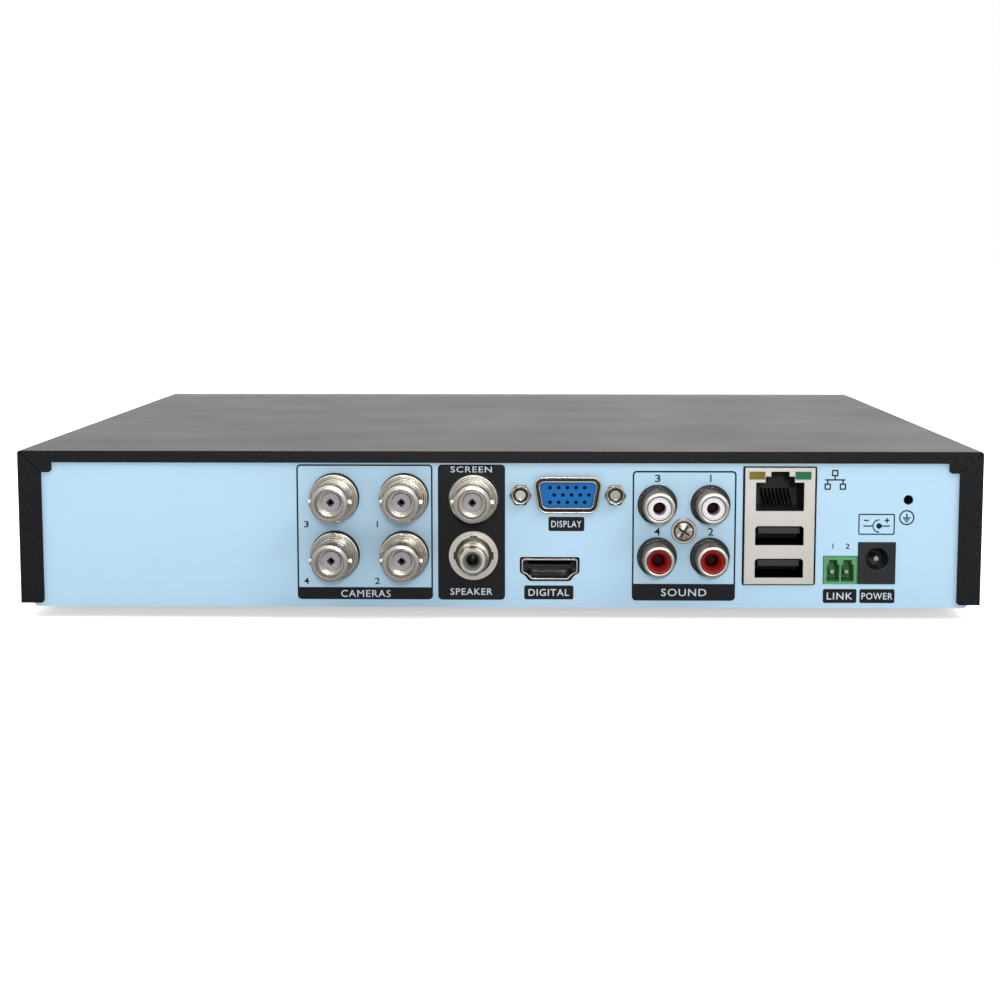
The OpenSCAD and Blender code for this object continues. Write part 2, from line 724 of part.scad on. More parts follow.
module infrared_window() {
  color([0.18, 0.04, 0.05]) translate([window_x, front_y, front_board_z]) {
    block([-window_w / 2, -bezel_t, -window_h / 2], [window_w / 2, -0.3, window_h / 2]);
    block([-window_w / 2 - 1.5, -bezel_t - 1, -window_h / 2 - 1.5],
          [window_w / 2 + 1.5, -bezel_t, window_h / 2 + 1.5]);
  }
}

led_l = 2.6;

module light_pipes() {
  back = front_board_y + led_l + 0.2;
  color([0.85, 0.9, 0.85]) for (i = [0:2])
    translate([pipe_x + i * pipe_pitch, 0, front_board_z]) rotate([-90, 0, 0]) {
      translate([0, 0, back]) cylinder(r = pipe_r, h = front_y - 0.1 - back);
      translate([0, 0, back]) cylinder(r = pipe_r + 0.6, h = 1.6);
    }
}

module front_board() {
  color([0.05, 0.35, 0.18]) difference() {
    translate([front_board_x, front_board_y, front_board_z])
      block([-front_board_w / 2, -front_board_t, -front_board_h / 2],
            [front_board_w / 2, 0, front_board_h / 2]);
    for (s = [-1, 1]) translate([front_board_x + s * front_screw_x, front_board_y + 1, front_board_z])
      rotate([90, 0, 0]) cylinder(r = screw_r + hole_gap, h = front_board_t + 2);
  }
}

module status_leds() {
  color([0.9, 0.9, 0.85]) for (i = [0:2])
    translate([pipe_x + i * pipe_pitch, front_board_y, front_board_z]) rotate([-90, 0, 0]) {
      cylinder(r = 1.6, h = 0.9);
      cylinder(r = 1.3, h = led_l);
    }
}

module infrared_receiver() {
  color([0.12, 0.12, 0.13]) translate([window_x, front_board_y, front_board_z]) {
    block([-2.8, 0, -3.4], [2.8, 2.6, 3.4]);
    translate([0, 2.6, 0.6]) rotate([-90, 0, 0]) cylinder(r = 2, h = 1.2);
  }
}

module front_cable() {
  back = front_board_y - front_board_t;
  plug_end = board_front + plug_l - 4;
  color([0.75, 0.75, 0.78]) translate([front_socket_x, 0, 0]) {
    block([-6, back - 5, front_board_z - 2.5], [6, back, front_board_z + 2.5]);
    lead([[0, back - 4.8, front_board_z], [0, bezel_y - 10, front_board_z],
          [2, bezel_y - 40, floor_top + 7], [2, board_front + 40, floor_top + 7],
          [0, plug_end + 10, board_top + 3], [0, plug_end, board_top + 3]], 1.5);
    block([-5, board_front, board_top + 0.8], [5, plug_end, board_top + 5.2]);
  }
}

// ---------- main board ----------

module main_board() {
  color([0.04, 0.30, 0.20]) difference() {
    block([board_x - board_w / 2, board_y, board_z], [board_x + board_w / 2, board_front, board_top]);
    for (p = board_spots) translate([p[0], p[1], board_z - 1])
      cylinder(r = screw_r + hole_gap, h = board_t + 2);
  }
}

module board_standoffs() {
  corner_r = standoff_af / sqrt(3);
  color([0.8, 0.78, 0.6]) for (p = board_spots) translate([p[0], p[1], 0]) difference() {
    union() {
      translate([0, 0, floor_top]) cylinder(r = corner_r, h = standoff_h, $fn = 6);
      translate([0, 0, floor_z]) cylinder(r = corner_r * 0.86 - thread_gap, h = sheet_t + tiny);
    }
    translate([0, 0, floor_z - 1]) cylinder(r = screw_r + thread_gap, h = standoff_h + sheet_t + 2);
  }
}

module board_screws() {
  color([0.75, 0.75, 0.77]) {
    for (p = board_spots) translate([p[0], p[1], board_top]) pan_screw(screw_r, screw_head_r, 1.9, 5);
    for (s = [-1, 1])
      translate([front_board_x + s * front_screw_x, front_board_y - front_board_t, front_board_z])
        rotate([90, 0, 0]) pan_screw(screw_r, screw_head_r, 1.9, 5);
  }
}

chip_x = 22;
chip_y = board_y + 48;
chip_w = 23;
chip_t = 1.4;

module processor() {
  color([0.10, 0.10, 0.11]) translate([chip_x, chip_y, board_top]) {
    translate([0, 0, 0.3]) block([-chip_w / 2, -chip_w / 2, 0], [chip_w / 2, chip_w / 2, chip_t - 0.3]);
    block([-chip_w / 2 + 1, -chip_w / 2 + 1, 0], [chip_w / 2 - 1, chip_w / 2 - 1, 0.3 + tiny]);
  }
}

module heat_sink() {
  sink_w = 34;
  fins = 9;
  fin_t = 1.2;
  color([0.2, 0.2, 0.22]) translate([chip_x, chip_y, board_top + chip_t]) {
    block([-sink_w / 2, -sink_w / 2, 0], [sink_w / 2, sink_w / 2, 3]);
    for (i = [0:fins - 1]) translate([-sink_w / 2 + i * (sink_w - fin_t) / (fins - 1), 0, 0])
      difference() {
        block([0, -sink_w / 2, 3 - tiny], [fin_t, sink_w / 2, 12]);
        block([-1, -1.5, 5], [fin_t + 1, 1.5, 13]);
      }
  }
}

// Small packages on the main board: place from the board's left rear corner, then length, width and height.
chip_table = [[46, 36, 9, 13, 1.1], [46, 54, 9, 13, 1.1], [114, 36, 9, 13, 1.1], [114, 54, 9, 13, 1.1],
              [22, 44, 14, 14, 1.3], [30, 68, 8, 6, 1.6], [96, 74, 10, 10, 1.2], [124, 34, 12, 15, 5.4],
              [150, 40, 6, 5, 1.6], [158, 56, 6, 5, 1.6], [56, 74, 9, 9, 1.2], [14, 26, 7, 6, 1.5]];

module chips() {
  color([0.09, 0.09, 0.10]) for (c = chip_table)
    translate([board_x - board_w / 2 + c[0], board_y + c[1], board_top])
      block([-c[2] / 2, -c[3] / 2, 0], [c[2] / 2, c[3] / 2, c[4]]);
}

module capacitors() {
  spots = [[168, 26, 4, 12], [168, 36, 4, 12], [156, 26, 3.15, 11],
           [148, 28, 3.15, 11], [166, 47, 3.15, 8], [72, 79, 3.15, 8]];
  color([0.15, 0.2, 0.4]) for (c = spots)
    translate([board_x - board_w / 2 + c[0], board_y + c[1], board_top]) {
      cylinder(r = c[2] - 0.2, h = c[3]);
      cylinder(r = c[2], h = 0.9);
      translate([0, 0, 1.6]) cylinder(r = c[2], h = c[3] - 1.8);
    }
}

module inductors() {
  spots = [[148, 50], [136, 50], [136, 62]];
  side = 7;
  color([0.3, 0.3, 0.32]) for (c = spots)
    translate([board_x - board_w / 2 + c[0], board_y + c[1], board_top]) {
      block([-side / 2, -side / 2, 0], [side / 2, side / 2, 1.2]);
      cylinder(r = side / 2 - 1, h = 3.6);
      translate([0, 0, 3.4]) cylinder(r = side / 2 - 0.2, h = 0.8);
    }
}

module coin_cell() {
  color([0.8, 0.8, 0.82]) translate([board_x - board_w / 2 + 15, board_y + 62, board_top]) {
    translate([0, 0, 1]) cylinder(r = 10, h = 2.6);
    translate([0, 0, 3.6 - tiny]) cylinder(r = 8.6, h = 0.6);
    for (s = [-1, 1]) block([s * 10.6 - 1.2, -2, 0], [s * 10.6 + 1.2, 2, 1.6]);
  }
}

module board_sockets() {
  color([0.92, 0.91, 0.86]) {
    for (s = [[data_socket_x, 10, 7], [power_socket_x, 13, 7.6], [front_socket_x, 12, 6]])
      block([s[0] - s[1] / 2, board_front - 7, board_top], [s[0] + s[1] / 2, board_front, board_top + s[2]]);
    translate([board_x - board_w / 2, board_y, board_top]) block([0.4, 32, 0], [6, 40, 5.6]);
  }
}

// ---------- jacks on the panel ----------

bay_seat_l = 2;                                   // height of the insulator's base above the panel
bay_throat_l = bay_l - bay_core_depth - 1.5;      // end of the throat that holds the insulator

module bayonet_shell() {
  mouth_r = bay_barrel_r - 1;
  edge = 0.4;
  lug_r = 0.95;
  lug_out = 0.7;
  lug_back = 3.6;
  difference() {
    union() {
      rotate_extrude() polygon([
        [0, -seat], [bay_ring_r, -seat], [bay_ring_r, bay_ring_l - edge],
        [bay_ring_r - edge, bay_ring_l], [bay_barrel_r, bay_ring_l + edge],
        [bay_barrel_r, bay_l - edge], [bay_barrel_r - edge, bay_l], [0, bay_l]]);
      for (s = [-1, 1]) translate([0, 0, bay_l - lug_back]) rotate([0, s * 90, 0])
        cylinder(r = lug_r, h = bay_barrel_r + lug_out);
    }
    translate([0, 0, -seat - 1]) cylinder(r = bay_bore_r, h = bay_seat_l + seat + 1 + hole_gap);
    cylinder(r = bay_core_r + thread_gap, h = bay_throat_l + tiny);
    translate([0, 0, bay_throat_l]) cylinder(r = bay_bore_r, h = bay_l);
    translate([0, 0, bay_l - 1.2]) cylinder(r1 = bay_bore_r, r2 = mouth_r, h = 1.2 + tiny);
  }
}

module bayonet_jack_shells() {
  color([0.78, 0.76, 0.70]) for (p = bayonets) on_panel(p[0], p[1]) bayonet_shell();
}

block_w = 14.8;
block_d = 15;

// The housings behind the panel that carry the jacks in each column.
module jack_blocks() {
  top = bay_low + bay_rise + 7;
  color([0.11, 0.11, 0.12]) for (x = bay_columns)
    translate([x, label_y + seat, board_top]) block([-block_w / 2, 0, 0], [block_w / 2, block_d, top]);
}

contact_r = 0.95;
out_core_r = 2.5;
out_contact_r = 1.75;

module jack_insulators() {
  color([0.72, 0.70, 0.76]) {
    for (p = bayonets) on_panel(p[0], p[1]) {
      ring(bay_core_r, contact_r, -seat, bay_l - bay_core_depth);
      ring(bay_bore_r, contact_r, -seat, bay_seat_l);
    }
    on_panel(bay_columns[2], out_rise) ring(out_core_r, out_contact_r, -seat, out_l - 0.4);
  }
}

// The contacts are tubes that end a little below their insulators' faces.
module jack_contacts() {
  wall = 0.33;
  recess = 1;
  solid_l = 2;                                    // length of the closed end behind the panel
  color([0.80, 0.68, 0.35]) {
    for (p = bayonets) on_panel(p[0], p[1]) difference() {
      translate([0, 0, -seat]) cylinder(r = contact_r, h = bay_l - bay_core_depth - recess + seat);
      translate([0, 0, solid_l]) cylinder(r = contact_r - wall, h = bay_l);
    }
    on_panel(bay_columns[2], out_rise) difference() {
      translate([0, 0, -seat]) cylinder(r = out_contact_r, h = out_l - 2 * recess + seat);
      translate([0, 0, solid_l]) cylinder(r = out_contact_r - wall, h = out_l);
    }
  }
}

module sound_out_shell() {
  ring_l = 1.6;
  lip_r = 4.95;
  cup_l = 0.9;                                    // height of the dish around the barrel
  tip_r = 3.45;
  notch = 1;
  color([0.80, 0.79, 0.75]) on_panel(bay_columns[2], out_rise) difference() {
    rotate_extrude() polygon([
      [out_core_r, -seat], [out_ring_r, -seat], [out_ring_r, ring_l], [lip_r, ring_l], [lip_r, cup_l],
      [out_barrel_r, cup_l], [out_barrel_r, out_l - 4.6], [out_barrel_r - 0.25, out_l - 4.4],
      [out_barrel_r - 0.25, out_l - 1.6], [tip_r, out_l - 0.9], [tip_r, out_l - 0.2], [tip_r - 0.2, out_l],
      [out_core_r, out_l]]);
    for (a = [0:90:270]) rotate(a)
      block([-notch, lip_r - 0.1, cup_l], [notch, lip_r + 0.35, ring_l + 1]);
  }
}

// ---------- sound inputs ----------

phono_front = 1.2;                                // how far the collars stand out of the panel
phono_neck_r = phono_r - 0.25;                    // the barrel's neck inside its collar

module phono_block() {
  margin = 6.6;
  depth = 13;
  color([0.11, 0.11, 0.12]) difference() {
    union() {
      translate([0, label_y + seat, board_top])
        block([phono_columns[0] - margin, 0, 0],
              [phono_columns[1] + margin, depth, phono_low + phono_pitch + margin]);
      for (x = phono_columns, j = [0, 1]) on_panel(x, phono_low + j * phono_pitch)
        translate([0, 0, -seat - tiny]) cylinder(r = phono_collar_r, h = phono_front + seat + tiny);
    }
    for (x = phono_columns, j = [0, 1]) on_panel(x, phono_low + j * phono_pitch)
      translate([0, 0, -seat - 3]) cylinder(r = phono_neck_r, h = phono_front + seat + 4);
    on_panel(phono_x, phono_low + phono_pitch / 2)
      translate([0, 0, -seat - 8]) cylinder(r = screw_r + thread_gap, h = 9);
  }
}

module phono_barrels() {
  edge = 0.5;
  shoulder = phono_front + 0.3;
  color([0.80, 0.78, 0.72]) for (x = phono_columns, j = [0, 1]) on_panel(x, phono_low + j * phono_pitch)
    rotate_extrude() polygon([
      [phono_insert_r, -seat - 3], [phono_neck_r, -seat - 3], [phono_neck_r, shoulder], [phono_r, shoulder],
      [phono_r, phono_l - edge], [phono_r - edge, phono_l], [phono_insert_r, phono_l]]);
}

module phono_insert() {
  ring(phono_insert_r, phono_hole_r, -seat - 1.5, phono_l - 0.4);
  translate([0, 0, -seat - 3]) cylinder(r = phono_insert_r, h = 1.5 + tiny);
}

module white_inserts() {
  color([0.93, 0.92, 0.93]) for (x = phono_columns) on_panel(x, phono_low + phono_pitch) phono_insert();
}

module red_inserts() {
  color([0.62, 0.05, 0.05]) for (x = phono_columns) on_panel(x, phono_low) phono_insert();
}

module panel_screw() {
  washer_r = 3.35;
  color([0.78, 0.76, 0.72]) on_panel(phono_x, phono_low + phono_pitch / 2) {
    ring(washer_r, screw_r - tiny, 0, 0.5);
    translate([0, 0, 0.5]) pan_screw(screw_r, 2.65, 1.6, 7);
  }
}

// ---------- display and digital video sockets ----------

dsub_back = seat + 1;                             // back of the flange behind the panel

module display_socket_shell() {
  color([0.72, 0.71, 0.68]) on_panel(dsub_x, dsub_rise) {
    difference() {
      union() {
        linear_extrude(1.6) trapezoid(dsub_w, dsub_h, 2.4);
        translate([0, 0, -seat - tiny])
          linear_extrude(seat + 2 * tiny) trapezoid(dsub_w - 1.3, dsub_h - 1.3, 2);
        translate([0, 0, -dsub_back]) linear_extrude(1) rounded(31, 12.4, 1);
      }
      translate([0, 0, 0.5]) linear_extrude(2) difference() {
        trapezoid(dsub_w - 0.9, dsub_h - 0.9, 2);
        trapezoid(dsub_w - 2.2, dsub_h - 2.2, 1.6);
      }
      translate([0, 0, 1.2]) linear_extrude(1) trapezoid(dsub_w - 2, dsub_h - 2, 1.6);
      translate([0, 0, -dsub_back - 1]) linear_extrude(6) trapezoid(dsub_w - 3, dsub_h - 3, 1.2);
      for (s = [-1, 1]) translate([s * jackscrew_pitch / 2, 0, -dsub_back - 1]) cylinder(r = 1.4, h = 3);
    }
  }
}

module display_socket_insert() {
  pin_pitch = 2.29;
  row_pitch = 1.95;
  stagger = 1.1;                                  // how far the middle row is moved aside
  first_x = -0.14;
  pin_hole_r = 0.5;
  half = jackscrew_pitch / 2 - 1.5;               // clear of the jackscrews' shanks
  leg_y = hd_depth + 0.3;                         // the leg stands behind the socket below
  color([0.13, 0.45, 0.75]) on_panel(dsub_x, dsub_rise) difference() {
    union() {
      translate([0, 0, -dsub_back - tiny])
        linear_extrude(dsub_back + 1) trapezoid(dsub_w - 3.1, dsub_h - 3.1, 1.2);
      block([-half, -5.6, -leg_y], [half, 5.6, -dsub_back]);
      block([-half, -dsub_rise, -leg_y - 4], [half, 5.6, -leg_y]);
    }
    for (row = [-1, 0, 1], i = [-2:2])
      translate([i * pin_pitch + (row == 0 ? stagger : 0) + first_x, row * row_pitch, -4])
        cylinder(r = pin_hole_r, h = 8);
  }
}

module display_jackscrews() {
  hex_r = jackscrew_af / sqrt(3);
  hex_l = 2.9;
  boss_r = jackscrew_af / 2 - 0.1;
  sink = 0.6;                                     // depth of the countersink
  color([0.76, 0.75, 0.72]) for (s = [-1, 1])
    on_panel(dsub_x + s * jackscrew_pitch / 2, dsub_rise) difference() {
      union() {
        cylinder(r = hex_r, h = hex_l - 0.5, $fn = 6);
        cylinder(r = boss_r, h = hex_l);
        translate([0, 0, -dsub_back - 3]) cylinder(r = 1.35, h = dsub_back + 3 + tiny);
      }
      translate([0, 0, 0.2]) cylinder(r = jackscrew_hole_r, h = hex_l);
      translate([0, 0, hex_l - sink]) cylinder(r1 = jackscrew_hole_r, r2 = boss_r - 0.25, h = sink + tiny);
    }
}

hd_t = 0.37;
hd_depth = 11.5;

module hd_socket_shell() {
  color([0.78, 0.76, 0.72]) on_panel(hd_x, hd_rise) {
    translate([0, 0, -hd_depth]) linear_extrude(hd_depth + 0.4) difference() {
      hd_outline(hd_w, hd_h);
      hd_outline(hd_w - 2 * hd_t, hd_h - 2 * hd_t);
    }
    for (s = [-1, 1], z = [-hd_depth + 1, -4])
      block([s * 3.6 - 0.5, -hd_rise, z], [s * 3.6 + 0.5, -hd_h / 2 + 0.1, z + 1]);
  }
}

module hd_socket_tongue() {
  color([0.10, 0.10, 0.11]) on_panel(hd_x, hd_rise) {
    translate([0, 0, -hd_depth]) linear_extrude(3) hd_outline(hd_w - 2 * hd_t - 0.1, hd_h - 2 * hd_t - 0.1);
    block([-5.6, -0.2, -hd_depth + 3 - tiny], [5.6, 1.1, -1.2]);
  }
}

// ---------- network and data stack ----------

stack_front = 0.6;                                // how far the stack's face stands out of the panel
network_low = 19.5;                               // height of the network opening above the main board
light_x = 6.05;
light_rise = 28.94;

module light_outline(gap) {
  for (s = [-1, 1]) translate([s * light_x, light_rise]) square([4.1 + 2 * gap, 2 + 2 * gap], center = true);
}

module jack_stack_shell() {
  color([0.76, 0.74, 0.68]) on_panel(stack_x, 0) difference() {
    block([-stack_w / 2, 0, stack_front - stack_d], [stack_w / 2, stack_h, stack_front]);
    block([-stack_w / 2 + stack_t, -1, stack_front - stack_d - 1],
          [stack_w / 2 - stack_t, stack_h - stack_t, stack_front - stack_t]);
    translate([0, 0, -1]) linear_extrude(3) {
      translate([0, network_low]) network_outline();
      light_outline(0.02);
      for (z = data_rows) translate([0, z]) data_outline(data_w, data_h);
    }
  }
}

insert_back = stack_front - stack_d + 1;

module network_insert() {
  low = network_low - 1.2;
  high = stack_h - stack_t - 0.1;
  half = stack_w / 2 - stack_t - 0.1;
  color([0.08, 0.08, 0.09]) on_panel(stack_x, 0) difference() {
    block([-half, low, insert_back], [half, high, stack_front - stack_t]);
    translate([0, network_low, stack_front - 13]) linear_extrude(14) network_outline(-0.15);
    translate([0, 0, stack_front - 4]) linear_extrude(5) light_outline(0.05);
  }
}

module network_contacts() {
  wire = 0.45;
  pitch = 1.02;
  color([0.85, 0.72, 0.35]) on_panel(stack_x, network_low)
    for (i = [0:7]) translate([(i - 3.5) * pitch - wire / 2, 4.3, stack_front - 13]) rotate([24, 0, 0])
      cube([wire, wire, 8.5]);
}

module network_lights() {
  color([0.55, 0.62, 0.15]) on_panel(stack_x, 0)
    translate([0, 0, stack_front - 4]) linear_extrude(4.1) light_outline(0);
}

module data_socket_tongues() {
  half = data_w / 2;
  color([0.16, 0.16, 0.17]) on_panel(stack_x, 0) for (z = data_rows) translate([0, z, 0]) {
    block([-half, 0, insert_back], [half, data_h, insert_back + 6]);
    block([-half + 0.85, data_h / 2 + 0.35, insert_back + 6 - tiny], [half - 0.85, data_h / 2 + 2.1, -0.9]);
  }
}

// ---------- terminal block and power jack ----------

term_front = 0.2;

module terminal_block() {
  depth = 11;
  color([0.30, 0.62, 0.38]) on_panel(term_x, 0) difference() {
    block([-term_w / 2, 0, term_front - depth], [term_w / 2, term_h, term_front]);
    for (s = [-1, 1]) translate([s * term_pitch / 2, 0, term_front - 7]) {
      block([-1.68, 0.65, 0], [1.68, term_h - 2.2, 8]);
      block([-1.1, 1, 0], [1.1, term_h - 1, 8]);
    }
  }
}

module terminal_pins() {
  half = 0.45;
  color([0.8, 0.78, 0.72]) on_panel(term_x, 0) for (s = [-1, 1])
    translate([s * term_pitch / 2, term_h / 2 - 0.6, term_front])
      block([-half, -half, -7], [half, half, -1.6]);
}

power_front = 0.3;
power_depth = 9.2;

module power_jack_body() {
  color([0.08, 0.08, 0.09]) on_panel(power_x, 0) difference() {
    block([-power_w / 2, 0, power_front - 14], [power_w / 2, power_h, power_front]);
    translate([0, power_rise, power_front - power_depth]) cylinder(r = power_hole_r, h = power_depth + 1);
  }
}

module power_jack_pin() {
  color([0.82, 0.80, 0.76]) on_panel(power_x, power_rise) {
    translate([0, 0, power_front - power_depth]) cylinder(r = power_pin_r, h = power_depth - 1.6);
    translate([0, 0, power_front - 1.6 - tiny]) cylinder(r1 = power_pin_r, r2 = power_pin_r * 0.6, h = 0.5);
  }
}

// ---------- hard disk ----------

module in_drive() {
  translate([drive_x, drive_y, drive_z]) children();
}

module drive_base() {
  corner = 2;
  color([0.62, 0.63, 0.65]) in_drive() {
    difference() {
      translate([(drive_nose - drive_tail) / 2, 0, 0])
        linear_extrude(drive_rim) rounded(drive_l, drive_w, corner);
      translate([0, 0, drive_deck]) cylinder(r = platter_r + 1.5, h = drive_rim, $fn = 96);
      block([20, -drive_w / 2 + 4, drive_deck], [83, drive_w / 2 - 4, drive_rim + 1]);
      block([24, -drive_w / 2 + 5, -1], [drive_nose + 1, drive_w / 2 - 5, pocket_h]);
      block([drive_nose - 9, -43, -1], [drive_nose + 1, 1, pocket_h + 4.6]);
      for (p = drive_holes) translate([p[0], p[1], -1]) cylinder(r = drive_screw_r + thread_gap, h = 7);
      for (p = lid_spots) translate([p[0], p[1], drive_rim - 5]) cylinder(r = 1.05, h = 6);
    }
    translate([0, 0, drive_deck - tiny]) cylinder(r = shaft_r, h = hub_top - drive_deck - 0.8);
    translate([pivot[0], pivot[1], drive_deck - tiny]) cylinder(r = shaft_r, h = hub_top - drive_deck);
  }
}

module drive_lid() {
  color([0.72, 0.73, 0.75]) in_drive() difference() {
    translate([(drive_nose - drive_tail) / 2, 0, drive_rim])
      linear_extrude(lid_t) rounded(drive_l, drive_w, 2);
    for (p = lid_spots) translate([p[0], p[1], drive_rim - 1]) cylinder(r = 1.2, h = 3);
  }
}

module drive_lid_screws() {
  color([0.7, 0.7, 0.72]) in_drive() for (p = lid_spots)
    translate([p[0], p[1], drive_h]) pan_screw(1, 2, 0.8, 5);
}

module platters() {
  color([0.85, 0.86, 0.88]) in_drive() for (z = platter_levels)
    translate([0, 0, z]) difference() {
      cylinder(r = platter_r, h = platter_t, $fn = 96);
      translate([0, 0, -1]) cylinder(r = hub_r + running_gap, h = platter_t + 2);
    }
}

module spindle_hub() {
  clamp_r = hub_r + 3.5;
  low = platter_levels[0];
  high = platter_levels[1];
  color([0.75, 0.76, 0.78]) in_drive() difference() {
    union() {
      ring(clamp_r, shaft_r + running_gap, hub_base, low);
      ring(hub_r, shaft_r + running_gap, hub_base, hub_top);
      ring(clamp_r, hub_r - 1, low + platter_t, high);
      ring(clamp_r, hub_r - 1, high + platter_t, hub_top);
    }
    for (a = [0:60:300]) rotate(a) translate([8.5, 0, hub_top - 3]) cylinder(r = 1.1, h = 4);
  }
}

module actuator_arm() {
  bearing_r = 7;
  arm_t = 1.2;
  arm_levels = [platter_levels[0] - 0.6 - arm_t, platter_levels[0] + platter_t + 1.1,
                platter_levels[1] + platter_t + 0.6];
  color([0.8, 0.8, 0.78]) in_drive() translate([pivot[0], pivot[1], 0]) difference() {
    union() {
      translate([0, 0, hub_base]) cylinder(r = bearing_r, h = hub_top - hub_base + 1);
      rotate(arm_park) for (z = arm_levels) translate([0, 0, z]) linear_extrude(arm_t)
        polygon([[0, 6], [arm_l * 0.55, 3.4], [arm_l, 1.5], [arm_l, -1.5], [arm_l * 0.55, -3.4], [0, -6]]);
      rotate(arm_park + 180) translate([0, 0, 12.6]) linear_extrude(2.8) difference() {
        sector(0, 21, -18, 18);
        sector(11.5, 18, -11, 11);
      }
    }
    translate([0, 0, hub_base - 1]) cylinder(r = shaft_r + running_gap, h = hub_top);
    rotate(arm_park) translate([arm_l * 0.42, 0, 0]) cylinder(r = 2, h = 30);
  }
}

module coil_magnets() {
  from = 14;
  to = 99;
  color([0.55, 0.56, 0.58]) in_drive() translate([pivot[0], pivot[1], 0]) {
    translate([0, 0, drive_deck]) linear_extrude(4.4) sector(9, 23, from - 5, to + 5);
    translate([0, 0, 16.6]) linear_extrude(3.4) sector(9, 23, from - 5, to + 5);
    for (a = [from - 5, to + 1])
      translate([0, 0, 11.4 - tiny]) linear_extrude(5.2 + 2 * tiny) sector(9, 23, a, a + 4);
  }
}

module drive_board() {
  color([0.05, 0.25, 0.15]) in_drive() {
    block([26, -drive_w / 2 + 6, 1], [drive_nose - 1, drive_w / 2 - 6, 2.2]);
    block([40, 10, 2.2 - tiny], [54, 24, 3.4]);
    block([66, 14, 2.2 - tiny], [76, 22, 3.2]);
    block([60, -24, 2.2 - tiny], [68, -12, 3.3]);
    block([drive_nose - 8.6, -42, 2.2 - tiny], [drive_nose - 0.4, 0, 7.6]);
  }
}

module drive_screws() {
  head_h = 1.6;
  color([0.7, 0.7, 0.72]) for (p = drive_holes)
    translate([drive_x + p[0], drive_y + p[1], floor_z]) rotate([180, 0, 0])
      pan_screw(drive_screw_r, 3.2, head_h, sheet_t + pad_h + 5);
}

// ---------- cables ----------

module cable_plugs(y, x, w) {
  low = drive_z + 2.4;
  block([drive_end, y - w / 2, low], [drive_end + plug_l + 1.5 + tiny, y + w / 2, low + 6]);
  block([x - 4.5, board_front, board_top + 0.2], [x + 4.5, board_front + plug_l + tiny, board_top + 6]);
}

module data_cable() {
  color([0.75, 0.12, 0.10]) {
    cable_plugs(data_plug_y, data_socket_x, 12);
    strap(data_plug_y, data_socket_x, 8, 1.4);
  }
}

module power_cable() {
  color([0.85, 0.7, 0.1]) {
    cable_plugs(power_plug_y, power_socket_x, 20);
    strap(power_plug_y, power_socket_x, 10, 2.4);
  }
}

// ---------- fan ----------

// Turns its child so that local Z runs along the fan's axis, from the case wall inwards.
module in_fan() {
  translate([-inner_x, fan_y, fan_z]) rotate([0, 90, 0]) children();
}

fan_shaft_r = 1;

module fan_frame() {
  color([0.10, 0.10, 0.11]) in_fan() {
    difference() {
      linear_extrude(fan_t) rounded(fan_size, fan_size, 2.5);
      translate([0, 0, -1]) cylinder(r = fan_bore_r, h = fan_t + 2, $fn = 96);
      for (a = [-1, 1], b = [-1, 1]) translate([a * fan_hole_pitch / 2, b * fan_hole_pitch / 2, -1])
        cylinder(r = screw_r + hole_gap, h = fan_t + 2);
    }
    difference() {
      union() {
        translate([0, 0, fan_t - 1.4]) cylinder(r = fan_hub_r, h = 1.4);
        translate([0, 0, 3]) cylinder(r = 3, h = fan_t - 3);
        for (a = [45:90:315]) rotate(a) block([0, -0.8, fan_t - 1.4], [fan_bore_r + 0.2, 0.8, fan_t]);
      }
      translate([0, 0, -1]) cylinder(r = fan_shaft_r + running_gap, h = fan_t + 2);
    }
  }
}

module fan_rotor() {
  blades = 7;
  cup_z = 1;
  cup_h = fan_t - 1.4 - 0.5 - cup_z;
  blade_l = fan_bore_r - 0.5 - fan_hub_r + 0.8;
  color([0.14, 0.14, 0.15]) in_fan() {
    difference() {
      translate([0, 0, cup_z]) cylinder(r = fan_hub_r, h = cup_h);
      translate([0, 0, cup_z + 1.2]) cylinder(r = fan_hub_r - 1.2, h = cup_h);
    }
    translate([0, 0, cup_z]) cylinder(r = fan_shaft_r, h = fan_t - cup_z - 0.4);
    intersection() {
      for (i = [0:blades - 1]) rotate(i * 360 / blades)
        translate([fan_hub_r - 0.8, 0, cup_z + cup_h / 2]) rotate([40, 0, 0])
          translate([0, -4.2, -0.5]) cube([blade_l + 1, 8.4, 1]);
      ring(fan_bore_r - 0.6, fan_hub_r - 0.6, cup_z, cup_z + cup_h);
    }
  }
}

// The fan's screws and its lead with the plug.
module fan_parts() {
  color([0.7, 0.7, 0.72]) in_fan()
    for (a = [-1, 1], b = [-1, 1]) translate([a * fan_hole_pitch / 2, b * fan_hole_pitch / 2, fan_t])
      pan_screw(screw_r, 2.6, 1.6, fan_t + sheet_t - 0.1);
  plug_x = board_x - board_w / 2 + 0.4;
  plug_y = board_y + 36;
  color([0.6, 0.1, 0.1]) {
    lead([[fan_face + 0.4, fan_y + 8, fan_z - 6], [fan_face + 8, fan_y + 9, fan_z - 8],
          [fan_face + 22, fan_y + 14, floor_top + 4], [plug_x - 18, plug_y, floor_top + 5],
          [plug_x - 9, plug_y, board_top + 2.8], [plug_x - 5, plug_y, board_top + 2.8]], 1.2);
    block([plug_x - 6, plug_y - 3.4, board_top + 0.6], [plug_x, plug_y + 3.4, board_top + 5]);
  }
}

